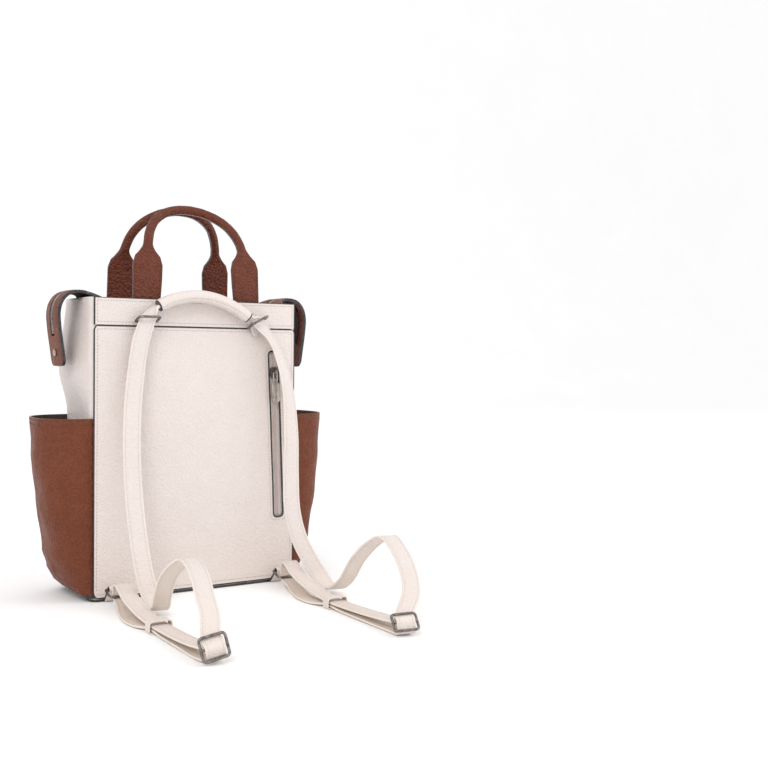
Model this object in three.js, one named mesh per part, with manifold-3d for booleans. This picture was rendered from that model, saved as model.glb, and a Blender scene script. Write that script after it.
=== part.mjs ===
// A convertible backpack in leather: a tall bag body with two side pockets, a zip top whose ends
// hang down the sides, two carry handles, a back pocket zip and one long strap that runs through
// rings at the top of the back, a rolled grip, two adjusting buckles and two rings at the base.
// Millimetres, +Z up. The strap side faces -Y, and the origin is the middle of the base on the floor.
import * as THREE from "three";
import { mergeVertices } from "three/addons/utils/BufferGeometryUtils.js";
import Module from "manifold-3d";

const wasm = await Module();
wasm.setup();

// Bag body
const bodyWidth = 250;
const bodyDepth = 100;
const bodyHeight = 332;
const wall = 2;
const plate = 2;
const clearance = 0.35;
const baseThickness = 3;
const cornerRadius = 8;
const panelInset = 2.5;
const panelBulge = 4;
const frontBulge = 6;
const bandHeight = 30;
const flange = 16;
const sideMargin = 3.5;

// Side pockets
const pocketHeight = 200;
const pocketBulge = 50;
const pocketWall = 2.2;

// Zip top and its hanging end tabs
const tabDrop = 76;
const tabWidth = 44;
const zipStripThickness = 3.4;
const zipSlotWidth = 11;
const topTapeWidth = 18;
const tapeThickness = 1;
const chainWidth = 4.6;
const rivetRadius = 4.2;
const rivetHeadHeight = 1.2;
const rivetShankRadius = 1.8;

// Carry handles
const handleSpacing = 116;
const handleTabWidth = 33;
const handleTabThickness = 4;
const handleTubeDiameter = 10.6;
const handleRise = 106;
const handleTopGap = 18;

// Straps, grip and keepers
const strapWidth = 19;
const strapThickness = 2.4;
const strapReach = 278;
const gripDiameter = 14;
const gripSpan = 110;
const gripRise = 17;
const gripAboveBand = 16.5;
const gripSlope = 10;
const gripOut = 10.8;
const keeperLength = 11;
const keeperThickness = 1.3;
const keeperInnerHeight = 9.6;

// Metal rings and buckles
const wire = 2.8;
const ringInnerWidth = 21.5;
const ringDepth = 16;
const topRingSpacing = 134;
const topRingTilt = 18;
const topRingRoll = 28;
const baseRingSpacing = 204;
const baseRingTilt = -20;
const baseTabLength = 21.5;
const baseTabAngle = 46;
const tabLeather = 1.3;
const ringTabWidth = 18;
const buckleBarSpacing = 10.5;

// Back pocket zip
const pocketZipLength = 197;
const pocketZipWidth = 12;
const pocketZipSlant = 2.6;
const pocketZipAcross = 98;
const pocketZipBelowBand = 27;
const pullPlateLength = 31;
const pullPlateWidth = 9.5;
const pullEyeLength = 11;
const pullThickness = 1.6;
const sliderLength = 14;
const sliderWidth = 8.6;
const sliderThickness = 4.2;
const bridgeWidth = 2.2;
const bridgeLength = 7;
const bridgeHeight = 4;
const bridgeBar = 1;

const halfWidth = bodyWidth / 2;
const halfDepth = bodyDepth / 2;
const bodyFloor = baseThickness + clearance;
const bandBottom = bodyHeight - bandHeight;
const gripHeight = bandBottom + gripAboveBand;
const pocketZipMiddle = bandBottom - pocketZipBelowBand - pocketZipLength / 2;
const wallFace = halfDepth - plate - clearance;
const wallInside = wallFace - wall;
const strapRun = strapThickness / 2 + clearance;
const wireRadius = wire / 2;
const barCentre = (ringInnerWidth + wire) / 2;
const layerOffset = wireRadius + clearance + strapThickness / 2;

const colours = {
  cream: new THREE.MeshStandardMaterial({ color: 0xe6ddd6, roughness: 0.6, metalness: 0 }),
  brown: new THREE.MeshStandardMaterial({ color: 0x6e3d2b, roughness: 0.5, metalness: 0 }),
  tape: new THREE.MeshStandardMaterial({ color: 0xb3a49a, roughness: 0.8, metalness: 0 }),
  darkTape: new THREE.MeshStandardMaterial({ color: 0x2b211d, roughness: 0.8, metalness: 0 }),
  gunmetal: new THREE.MeshStandardMaterial({ color: 0x6b625c, roughness: 0.3, metalness: 1 }),
};

const bag = new THREE.Group();

function addMesh(parent, name, geometry, material) {
  const mesh = new THREE.Mesh(geometry, material);
  mesh.name = name;
  parent.add(mesh);
  return mesh;
}

const vector = (x, y, z) => new THREE.Vector3(x, y, z);
const radians = THREE.MathUtils.degToRad;

// The value of a table's column where its key column reaches a given number, eased between rows.
function lookup(rows, key, at, column) {
  if (at <= rows[0][key]) return rows[0][column];
  for (let i = 1; i < rows.length; i++) {
    const [low, high] = [rows[i - 1], rows[i]];
    if (at > high[key]) continue;
    const share = (at - low[key]) / (high[key] - low[key]);
    const eased = share * share * (3 - 2 * share);
    return low[column] + (high[column] - low[column]) * eased;
  }
  return rows[rows.length - 1][column];
}

// Triangles that close one end ring, found in the ring's own plane.
function capTriangles(ring) {
  const normal = vector(0, 0, 0);
  ring.forEach((p, i) => normal.add(p.clone().cross(ring[(i + 1) % ring.length])));
  const turn = new THREE.Quaternion().setFromUnitVectors(normal.normalize(), vector(0, 0, 1));
  const flat = ring.map((p) => p.clone().applyQuaternion(turn)).map((p) => new THREE.Vector2(p.x, p.y));
  return THREE.ShapeUtils.triangulateShape(flat, []);
}

// A closed skin through rings of points. Its two ends are capped unless the rings close on themselves.
function loft(rings, closed = false) {
  const count = rings[0].length;
  const positions = rings.flat().flatMap((p) => [p.x, p.y, p.z]);
  const faces = [];
  const steps = closed ? rings.length : rings.length - 1;
  for (let i = 0; i < steps; i++) {
    const next = (i + 1) % rings.length;
    for (let j = 0; j < count; j++) {
      const k = (j + 1) % count;
      const [a, b, c, d] = [i * count + j, i * count + k, next * count + k, next * count + j];
      faces.push([a, b, c], [a, c, d]);
    }
  }
  if (!closed) {
    const last = (rings.length - 1) * count;
    capTriangles(rings[0]).forEach(([a, b, c]) => faces.push([a, c, b]));
    capTriangles(rings[rings.length - 1]).forEach(([a, b, c]) => faces.push([last + a, last + b, last + c]));
  }
  const at = (i) => vector(positions[3 * i], positions[3 * i + 1], positions[3 * i + 2]);
  const volume = faces.reduce((sum, [a, b, c]) => sum + at(a).dot(at(b).cross(at(c))), 0);
  if (volume < 0) faces.forEach((face) => face.reverse());
  const geometry = new THREE.BufferGeometry();
  geometry.setAttribute("position", new THREE.Float32BufferAttribute(positions, 3));
  geometry.setIndex(faces.flat());
  return geometry;
}

function solidOf(geometry) {
  const bare = new THREE.BufferGeometry();
  bare.setAttribute("position", geometry.getAttribute("position").clone());
  bare.setIndex(geometry.index);
  const merged = mergeVertices(bare, 1e-4);
  return new wasm.Manifold(
    new wasm.Mesh({
      numProp: 3,
      vertProperties: new Float32Array(merged.attributes.position.array),
      triVerts: new Uint32Array(merged.index.array),
    }),
  );
}

function geometryOf(solid) {
  const mesh = solid.getMesh();
  const geometry = new THREE.BufferGeometry();
  geometry.setAttribute("position", new THREE.Float32BufferAttribute(mesh.vertProperties, 3));
  geometry.setIndex(Array.from(mesh.triVerts));
  return geometry;
}

const cut = (body, ...tools) =>
  geometryOf(tools.reduce((left, tool) => left.subtract(solidOf(tool)), solidOf(body)));
const join = (body, ...others) =>
  geometryOf(others.reduce((whole, other) => whole.add(solidOf(other)), solidOf(body)));

// Points round a rounded rectangle from y0 to y1, with its own radius at each end.
function roundedOutline(half, y0, y1, r0, r1, steps) {
  const corners = [
    [half - r0, y0 + r0, r0, -90],
    [half - r1, y1 - r1, r1, 0],
    [-half + r1, y1 - r1, r1, 90],
    [-half + r0, y0 + r0, r0, 180],
  ];
  return corners.flatMap(([x, y, r, start]) =>
    Array.from({ length: steps + 1 }, (_, i) => {
      const angle = radians(start + (90 * i) / steps);
      return new THREE.Vector2(x + r * Math.cos(angle), y + r * Math.sin(angle));
    }),
  );
}

// An outline in X and Z, given thickness along Y from front to back.
function slab(outline, front, back) {
  return loft([front, back].map((y) => outline.map((p) => vector(p.x, y, p.y))));
}

// A round wire bent along a closed outline in its own X and Y.
function wireLoop(outline, radius, sides) {
  const count = outline.length;
  const rings = outline.map((p, i) => {
    const before = outline[(i + count - 1) % count];
    const after = outline[(i + 1) % count];
    const along = after.clone().sub(before).normalize();
    const outward = vector(along.y, -along.x, 0);
    return Array.from({ length: sides }, (_, k) => {
      const angle = (2 * Math.PI * k) / sides;
      return vector(p.x, p.y, radius * Math.sin(angle)).addScaledVector(outward, radius * Math.cos(angle));
    });
  });
  return loft(rings, true);
}

function rod(radius, length, sides) {
  return new THREE.CylinderGeometry(radius, radius, length, sides).rotateZ(Math.PI / 2);
}

// Body: a hollow gusset of sides and floor, with a margin all round behind the front and back panels

// How far the side walls are drawn in or pushed out, as a share of the half width, up the body.
const sideShape = [
  { up: 0, side: 0.985 },
  { up: 0.04, side: 1 },
  { up: 0.4, side: 0.985 },
  { up: 0.61, side: 0.968 },
  { up: 0.78, side: 1.01 },
  { up: 1, side: 0.97 },
];

function sideShare(height) {
  return lookup(sideShape, "up", height / bodyHeight, "side");
}

// The back edge stays straight, and the shape grows from there to the front edge.
function sideGrowth(y, height) {
  return 1 + (sideShare(height) - 1) * THREE.MathUtils.smoothstep(y, -wallFace, 0);
}

function bodyRing(height, inset) {
  const depth = wallFace - inset;
  const outline = roundedOutline(halfWidth - inset, -depth, depth, cornerRadius - inset, cornerRadius - inset, 3);
  const sideSteps = 2;
  const points = outline.flatMap((p, i) => {
    const next = outline[(i + 1) % outline.length];
    if (Math.abs(p.y - next.y) < depth) return [p];
    return Array.from({ length: sideSteps }, (_, k) => p.clone().lerp(next, k / sideSteps));
  });
  return points.map((p) => vector(p.x * sideGrowth(p.y, height), p.y, height));
}

function makeBody() {
  const levels = [0, 0.04, 0.2, 0.4, 0.5, 0.61, 0.7, 0.78, 0.9, 1];
  const heightAt = (share, low) => low + share * (bodyHeight - low);
  const outer = levels.map((share) => bodyRing(heightAt(share, bodyFloor), 0));
  const inner = levels.map((share) => bodyRing(heightAt(share, bodyFloor + wall), wall)).reverse();
  const windowHalf = halfWidth - cornerRadius - sideMargin;
  const windowLow = bodyFloor + flange;
  const windowHigh = bodyHeight - flange;
  const frame = roundedOutline(windowHalf, windowLow, windowHigh, wall, wall, 1);
  const tube = loft([...outer, ...inner]);
  return cut(tube, slab(frame, -halfDepth, -wallInside + wall), slab(frame, wallInside - wall, halfDepth));
}

addMesh(bag, "body_gusset", makeBody(), colours.cream);

const baseOutline = roundedOutline(halfWidth - panelInset / 2, -halfDepth, halfDepth, cornerRadius, cornerRadius, 4);
const baseRings = [0, baseThickness].map((z) => baseOutline.map((p) => vector(p.x, p.y, z)));
addMesh(bag, "base_panel", loft(baseRings), colours.cream);

// Front and back panels: curved sheets that lap over the margin of the body

// Levels of a sheet from low to high, close together at its rounded corners.
function sheetLevels(low, high, lowRadius, highRadius, steps) {
  const arc = [0, 0.15, 0.5, 1];
  const bottom = arc.map((share) => low + share * lowRadius);
  const top = arc.map((share) => high - share * highRadius).reverse();
  const middle = Array.from({ length: steps - 1 }, (_, i) => {
    const share = (i + 1) / steps;
    return low + lowRadius + share * (high - highRadius - low - lowRadius);
  });
  return [...bottom, ...middle, ...top];
}

function cornerCut(distance, radius) {
  if (distance >= radius) return 0;
  return radius - Math.sqrt(Math.max(0, radius * radius - (radius - distance) ** 2));
}

// A sheet of leather facing one way along Y, bulged most a little below its middle.
function panelSheet({ facing, low, high, lowRadius, highRadius, bulge, half, columns, steps }) {
  const swell = (x, z) => {
    const across = 1 - (x / halfWidth) ** 2;
    const up = (z - low) / (high - low);
    return bulge * across ** 1.5 * Math.sin(Math.PI * up ** 0.8) ** 1.2;
  };
  const rings = sheetLevels(low, high, lowRadius, highRadius, steps).map((z) => {
    const reach = half(z) - cornerCut(z - low, lowRadius) - cornerCut(high - z, highRadius);
    const row = (offset) =>
      Array.from({ length: columns + 1 }, (_, i) => {
        const x = reach * ((2 * i) / columns - 1);
        return vector(x, facing * (halfDepth + swell(x, z) - offset), z);
      });
    return [...row(0), ...row(plate).reverse()];
  });
  return loft(rings);
}

const straightEdge = () => halfWidth - panelInset;
const shapedEdge = (z) => halfWidth * sideShare(z) - panelInset;

const zipHole = roundedOutline(pocketZipWidth / 2, -pocketZipLength / 2, pocketZipLength / 2, 4, 4, 3);
const zipPlace = new THREE.Matrix4()
  .makeTranslation(pocketZipAcross, -halfDepth, pocketZipMiddle)
  .multiply(new THREE.Matrix4().makeRotationY(radians(-pocketZipSlant)));

function makeBackPanel() {
  const sheet = panelSheet({
    facing: -1,
    low: bodyFloor,
    high: bandBottom - clearance,
    lowRadius: cornerRadius,
    highRadius: 6,
    bulge: panelBulge,
    half: straightEdge,
    columns: 12,
    steps: 9,
  });
  const hole = slab(zipHole, -2 * panelBulge, 2 * plate).applyMatrix4(zipPlace);
  return cut(sheet, hole);
}

addMesh(bag, "back_panel", makeBackPanel(), colours.cream);

const bandOutline = roundedOutline(halfWidth - panelInset, bandBottom, bodyHeight, 1, 1, 1);
addMesh(bag, "back_band", slab(bandOutline, -halfDepth, -halfDepth + plate), colours.cream);

const frontSheet = panelSheet({
  facing: 1,
  low: bodyFloor,
  high: bodyHeight,
  lowRadius: cornerRadius,
  highRadius: 1,
  bulge: frontBulge,
  half: shapedEdge,
  columns: 12,
  steps: 10,
});
addMesh(bag, "front_panel", frontSheet, colours.cream);

// Side pockets: a curved sheet on each side, open at the top and drawn in to the base

// How far the pocket stands out, as a share of its greatest bulge, up its height.
const pocketShape = [
  { up: 0.02, out: 0.04 },
  { up: 0.04, out: 0.17 },
  { up: 0.085, out: 0.34 },
  { up: 0.15, out: 0.5 },
  { up: 0.26, out: 0.66 },
  { up: 0.54, out: 0.86 },
  { up: 0.8, out: 0.96 },
  { up: 1, out: 1 },
];

// Where the outside of the body lies on its side, at a place along Y.
function sideFace(y, height) {
  const past = Math.max(0, Math.abs(y) - (wallFace - cornerRadius));
  const reach = halfWidth - cornerRadius + Math.sqrt(cornerRadius ** 2 - past ** 2);
  return reach * sideGrowth(y, height);
}

function makePocket(side) {
  const half = wallFace - pocketWall * 0.05;
  const columns = 18;
  const rings = pocketShape.map(({ up, out }) => {
    const row = (skin) =>
      Array.from({ length: columns + 1 }, (_, i) => {
        const angle = Math.PI * (1 - i / columns);
        const c = Math.cos(angle);
        const along = Math.sign(c) * Math.abs(c) ** 0.8 * (half - (1 - Math.abs(c)) * skin);
        const bulge = Math.abs(Math.sin(angle)) ** 0.85 * pocketBulge * out;
        const seat = sideFace(along, up * pocketHeight) + 2 * clearance;
        return vector(side * (seat + bulge + pocketWall - skin), along, up * pocketHeight);
      });
    return [...row(0), ...row(pocketWall).reverse()];
  });
  return loft(rings);
}

addMesh(bag, "side_pocket_left", makePocket(-1), colours.brown);
addMesh(bag, "side_pocket_right", makePocket(1), colours.brown);

// Zip top: a strip that lies below the rim, rises over both sides and hangs down as two tabs

// Half of the strip's upper surface: across as a share of the half width, up of the tab's drop.
const zipShape = [
  { across: 0, up: -0.165 },
  { across: 0.5, up: -0.165 },
  { across: 0.74, up: -0.14 },
  { across: 0.86, up: -0.02 },
  { across: 0.94, up: 0.075 },
  { across: 1.03, up: 0.115 },
  { across: 1.13, up: 0.085 },
  { across: 1.2, up: -0.03 },
  { across: 1.232, up: -0.2 },
  { across: 1.225, up: -0.45 },
  { across: 1.2, up: -0.75 },
  { across: 1.18, up: -1 },
];
const tabHalf = tabWidth / 2;
const tabCorner = 9;
const innerHalf = wallInside - clearance;

function zipPath() {
  const right = zipShape.map((r) => vector(r.across * halfWidth, 0, bodyHeight + r.up * tabDrop));
  const left = right.slice(1).map((p) => vector(-p.x, 0, p.z)).reverse();
  return new THREE.CatmullRomCurve3([...left, ...right], false, "centripetal");
}

// Places along the path from one end to the other, each with the way out of the surface.
function zipStations() {
  const path = zipPath();
  const length = path.getLength();
  const steps = 50;
  const shares = Array.from({ length: steps + 1 }, (_, i) => i / steps);
  const rounding = [0.15, 0.5].map((share) => (share * tabCorner) / length);
  return [...shares, ...rounding, ...rounding.map((share) => 1 - share)]
    .sort((a, b) => a - b)
    .map((share) => {
      const along = path.getTangentAt(share);
      const fromEnd = Math.min(share, 1 - share) * length;
      return { point: path.getPointAt(share), out: vector(-along.z, 0, along.x), fromEnd };
    });
}

const stations = zipStations();

function stripHalf({ point, fromEnd }) {
  const spread = THREE.MathUtils.smoothstep(Math.abs(point.x) / halfWidth, 0.84, 0.97);
  const wide = innerHalf + (tabHalf - innerHalf) * spread;
  return wide - cornerCut(fromEnd, tabCorner);
}

// A band along the zip path between two depths below the strip's upper surface.
function zipBand(list, section) {
  return loft(
    list.map((station) =>
      section(station).map(([across, depth]) =>
        station.point.clone().addScaledVector(station.out, -depth).setY(across),
      ),
    ),
  );
}

const flatSection = (half, top, bottom) => [
  [-half, top],
  [half, top],
  [half, bottom],
  [-half, bottom],
];
const slotEnd = tabDrop * 0.44;
const rivetDrop = tabDrop * 0.2;
const slotStations = stations.filter((s) => s.fromEnd > slotEnd);

// The tab's own place and direction at a distance from its end, on one side.
function tabStation(side, fromEnd) {
  const near = stations.filter((s) => Math.sign(s.point.x) === side);
  return near.reduce((best, s) => (Math.abs(s.fromEnd - fromEnd) < Math.abs(best.fromEnd - fromEnd) ? s : best));
}

function rivetAt(side, geometry) {
  const { point, out } = tabStation(side, rivetDrop);
  const turn = new THREE.Quaternion().setFromUnitVectors(vector(0, 1, 0), out);
  return geometry.clone().applyQuaternion(turn).translate(point.x, point.y, point.z);
}

function makeZipStrip() {
  const strip = zipBand(stations, (s) => flatSection(stripHalf(s), 0, zipStripThickness));
  const slot = zipBand(slotStations, () =>
    flatSection(zipSlotWidth / 2, -zipStripThickness, 2 * zipStripThickness),
  );
  const hole = new THREE.CylinderGeometry(
    rivetShankRadius + clearance,
    rivetShankRadius + clearance,
    4 * zipStripThickness,
    12,
  );
  return cut(strip, slot, rivetAt(-1, hole), rivetAt(1, hole));
}

addMesh(bag, "zip_strip", makeZipStrip(), colours.brown);

// The zip's tape lies under the strip, and its chain stands up in the slot.
const tapeTop = zipStripThickness + clearance;
function makeTopTape() {
  const bed = zipBand(
    stations.filter((s) => s.fromEnd > slotEnd - 8),
    () => flatSection(topTapeWidth / 2, tapeTop, tapeTop + tapeThickness),
  );
  const chain = zipBand(slotStations.slice(1, -1), () =>
    flatSection(chainWidth / 2, 1, tapeTop + tapeThickness / 2),
  );
  return join(bed, chain);
}

addMesh(bag, "top_zip_chain", makeTopTape(), colours.darkTape);

// A rivet through each tab, with a domed head outside and a flat one inside.
function makeRivet() {
  const [outside, inside] = [clearance, -zipStripThickness - clearance];
  const profile = [
    [0, inside - rivetHeadHeight],
    [rivetRadius * 0.85, inside - rivetHeadHeight],
    [rivetRadius * 0.85, inside],
    [rivetShankRadius, inside],
    [rivetShankRadius, outside],
    [rivetRadius, outside],
    [rivetRadius * 0.9, outside + rivetHeadHeight * 0.6],
    [rivetRadius * 0.5, outside + rivetHeadHeight],
    [0, outside + rivetHeadHeight * 1.15],
  ].map(([r, y]) => new THREE.Vector2(r, y));
  return new THREE.LatheGeometry(profile, 12);
}

addMesh(bag, "rivet_left", rivetAt(-1, makeRivet()), colours.gunmetal);
addMesh(bag, "rivet_right", rivetAt(1, makeRivet()), colours.gunmetal);

// The top zip's slider, hidden behind the rim: one plain piece with its pull lying flat.
function makeTopSlider() {
  const level = bodyHeight + zipShape[0].up * tabDrop - 1 + clearance;
  const body = roundedOutline(sliderLength / 2, -sliderWidth / 2, sliderWidth / 2, 2.5, 2.5, 2);
  const pull = roundedOutline(pullPlateLength / 2, -pullPlateWidth / 2, pullPlateWidth / 2, 4, 4, 3);
  const lay = (outline, shift, low, high) =>
    loft([low, high].map((z) => outline.map((p) => vector(p.x + shift, p.y, z))));
  const block = lay(body, 0, level, level + sliderThickness * 0.7);
  const shift = pullPlateLength / 2 + sliderLength * 0.1;
  const plateLow = level + sliderThickness * 0.4;
  return join(block, lay(pull, shift, plateLow, plateLow + pullThickness));
}

addMesh(bag, "top_zip_slider", makeTopSlider().translate(-halfWidth * 0.45, 0, 0), colours.gunmetal);

// Carry handles: flat tabs inside the rim, drawn in to a neck and rolled into a round arch

// Half of a handle from its foot to the middle of its arch. Across is a share of half the spacing,
// up of the rise above the rim, lean of the way from the wall to the middle; round is 1 on the tube.
const handleShape = [
  { across: 1.06, up: -0.105, lean: 0, wide: 0.97, round: 0 },
  { across: 1.05, up: 0, lean: 0, wide: 0.97, round: 0 },
  { across: 1.03, up: 0.2, lean: 0.02, wide: 1.02, round: 0 },
  { across: 1.02, up: 0.36, lean: 0.05, wide: 1.08, round: 0.05 },
  { across: 1.01, up: 0.45, lean: 0.09, wide: 0.98, round: 0.15 },
  { across: 1, up: 0.52, lean: 0.13, wide: 0.68, round: 0.5 },
  { across: 0.985, up: 0.58, lean: 0.18, wide: 0.42, round: 0.9 },
  { across: 0.95, up: 0.66, lean: 0.28, wide: 0.33, round: 1 },
  { across: 0.86, up: 0.77, lean: 0.46, wide: 0.32, round: 1 },
  { across: 0.7, up: 0.872, lean: 0.68, wide: 0.32, round: 1 },
  { across: 0.48, up: 0.946, lean: 0.86, wide: 0.32, round: 1 },
  { across: 0.24, up: 0.987, lean: 0.97, wide: 0.32, round: 1 },
  { across: 0, up: 1, lean: 1, wide: 0.32, round: 1 },
];

function makeHandle(facing) {
  const footY = innerHalf - handleTabThickness / 2;
  const place = (row, side) =>
    vector(
      (side * row.across * handleSpacing) / 2,
      facing * THREE.MathUtils.lerp(footY, handleTopGap / 2, row.lean),
      bodyHeight + row.up * handleRise,
    );
  const left = handleShape.map((row) => ({ row, at: place(row, -1) }));
  const right = handleShape.slice(0, -1).map((row) => ({ row, at: place(row, 1) })).reverse();
  const all = [...left, ...right];
  const path = new THREE.CatmullRomCurve3(all.map((s) => s.at), false, "centripetal");
  const perRow = 2;
  const total = (all.length - 1) * perRow;
  const sides = 10;
  const rings = Array.from({ length: total + 1 }, (_, i) => {
    const share = i / perRow;
    const low = Math.min(Math.floor(share), all.length - 2);
    const mix = share - low;
    const column = (name) => THREE.MathUtils.lerp(all[low].row[name], all[low + 1].row[name], mix);
    const along = path.getTangent(i / total);
    const out = vector(0, 1, 0).addScaledVector(along, -along.y).normalize();
    const across = along.clone().cross(out);
    const round = column("round");
    const wide = THREE.MathUtils.lerp(column("wide") * handleTabWidth, handleTubeDiameter, round) / 2;
    const thick = THREE.MathUtils.lerp(handleTabThickness, handleTubeDiameter, round) / 2;
    const power = THREE.MathUtils.lerp(0.35, 1, round);
    const centre = path.getPoint(i / total);
    return Array.from({ length: sides }, (_, k) => {
      const angle = (2 * Math.PI * (k + 0.5)) / sides;
      const [c, s] = [Math.cos(angle), Math.sin(angle)];
      return centre
        .clone()
        .addScaledVector(across, wide * Math.sign(c) * Math.abs(c) ** power)
        .addScaledVector(out, thick * Math.sign(s) * Math.abs(s) ** power);
    });
  });
  return loft(rings);
}

addMesh(bag, "handle_back", makeHandle(-1), colours.brown);
addMesh(bag, "handle_front", makeHandle(1), colours.brown);

// Rings, their leather tabs and the buckles

// A ring's own frame: X along its straight bar, Y out to its curved side.
function ringFrame(x, y, z, tilt, roll) {
  const tilted = new THREE.Matrix4().makeRotationX(Math.PI - radians(tilt));
  const rolled = new THREE.Matrix4().makeRotationY(radians(-roll));
  return new THREE.Matrix4().makeTranslation(x, y, z).multiply(rolled).multiply(tilted);
}

// A buckle's own frame: X along its bars, Y up its frame, Z out of its front.
function buckleFrame(x, y, z, heading, lean, roll) {
  const headed = new THREE.Matrix4().makeRotationZ(radians(heading));
  const leaned = new THREE.Matrix4().makeRotationX(radians(90 - lean));
  const rolled = new THREE.Matrix4().makeRotationZ(radians(roll));
  return new THREE.Matrix4().makeTranslation(x, y, z).multiply(headed).multiply(leaned).multiply(rolled);
}

const topRingY = -(halfDepth + clearance + tabLeather + clearance + wireRadius);
const topRingZ = bandBottom + 4.5;
const baseTurn = radians(baseTabAngle);
const baseTabStart = halfDepth + clearance + tabLeather * Math.sin(baseTurn);
const baseRingY = -baseTabStart - baseTabLength * Math.cos(baseTurn);
const baseRingZ = clearance + tabLeather * Math.cos(baseTurn) + baseTabLength * Math.sin(baseTurn);
const places = {
  left: {
    topX: -topRingSpacing * 0.49,
    roll: 0,
    twist: 88,
    baseX: -baseRingSpacing / 2,
    buckle: buckleFrame(-0.84 * halfWidth, -halfDepth - strapReach, buckleBarSpacing + 4.9, -12, 16, 12),
  },
  right: {
    topX: topRingSpacing * 0.516,
    roll: topRingRoll,
    twist: 34,
    baseX: (baseRingSpacing / 2) * 0.98,
    buckle: buckleFrame(0.768 * halfWidth, -halfDepth - 1.01 * strapReach, buckleBarSpacing + 2.2, -25, 55, 6),
  },
};
for (const place of Object.values(places)) {
  place.top = ringFrame(place.topX, topRingY, topRingZ, topRingTilt, place.roll);
  place.base = ringFrame(place.baseX, baseRingY, baseRingZ, baseRingTilt, 0);
}

function makeRing() {
  return wireLoop(roundedOutline(barCentre, 0, ringDepth, 2.5, 4.5, 4), wireRadius, 8);
}

function makeBuckle() {
  const frame = wireLoop(
    roundedOutline(barCentre, -buckleBarSpacing, buckleBarSpacing, 3.5, 3.5, 3),
    wireRadius,
    8,
  );
  return join(frame, rod(wireRadius, 2 * barCentre, 8));
}

// A strip of leather folded round a bar, seen from its end: a tail of two layers and an eye.
function foldedTab(tail, width) {
  const eye = wireRadius + clearance + tabLeather;
  const start = Math.asin(tabLeather / eye);
  const steps = 14;
  const arc = Array.from({ length: steps + 1 }, (_, i) => {
    const angle = start + ((2 * Math.PI - 2 * start) * i) / steps;
    return new THREE.Vector2(eye * Math.cos(angle), eye * Math.sin(angle));
  });
  const ends = [new THREE.Vector2(tail, tabLeather), new THREE.Vector2(tail, -tabLeather)];
  const outline = new THREE.Shape([ends[0], ...arc, ends[1]]);
  const hole = new THREE.Path();
  hole.absarc(0, 0, wireRadius + clearance, 0, 2 * Math.PI, true);
  outline.holes.push(hole);
  const geometry = new THREE.ExtrudeGeometry(outline, { depth: width, bevelEnabled: false, curveSegments: 6 });
  return geometry.translate(0, 0, -width / 2).rotateY(-Math.PI / 2);
}

// The tail points straight down before the tab is turned about its bar.
function ringTab(tail, x, y, z, turn, roll) {
  return foldedTab(tail, ringTabWidth)
    .rotateX(radians(180 + turn))
    .rotateY(radians(-roll))
    .translate(x, y, z);
}

for (const [side, place] of Object.entries(places)) {
  addMesh(bag, `top_ring_${side}`, makeRing().applyMatrix4(place.top), colours.gunmetal);
  addMesh(bag, `base_ring_${side}`, makeRing().applyMatrix4(place.base), colours.gunmetal);
  addMesh(bag, `buckle_${side}`, makeBuckle().applyMatrix4(place.buckle), colours.gunmetal);
  const topTab = ringTab(topRingZ - bandBottom + 6, place.topX, topRingY, topRingZ, 0, place.roll);
  const baseTab = ringTab(baseTabLength, place.baseX, baseRingY, baseRingZ, 90 - baseTabAngle, 0);
  addMesh(bag, `top_ring_tab_${side}`, topTab, colours.cream);
  addMesh(bag, `base_ring_tab_${side}`, baseTab, colours.cream);
}

// Grip: a padded roll in a shallow arch between the two top rings
const gripY = -halfDepth - gripOut;

function gripPoint(share) {
  const x = gripSpan * (share - 0.491);
  const z = gripHeight + gripSlope * (0.5 - share) + 4 * gripRise * share * (1 - share);
  return vector(x, gripY, z);
}

function makeGrip() {
  const steps = 16;
  const sides = 12;
  const rings = Array.from({ length: steps + 1 }, (_, i) => {
    const share = i / steps;
    const along = gripPoint(share + 0.01).sub(gripPoint(share - 0.01)).normalize();
    const up = vector(-along.z, 0, along.x);
    return Array.from({ length: sides }, (_, k) => {
      const angle = (2 * Math.PI * k) / sides;
      const radius = gripDiameter / 2;
      return gripPoint(share)
        .addScaledVector(up, radius * Math.cos(angle))
        .add(vector(0, radius * Math.sin(angle), 0));
    });
  });
  return loft(rings);
}

addMesh(bag, "grip", makeGrip(), colours.cream);

// Straps: one ribbon on each side, from the grip down to the base ring and back round the buckle

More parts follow.
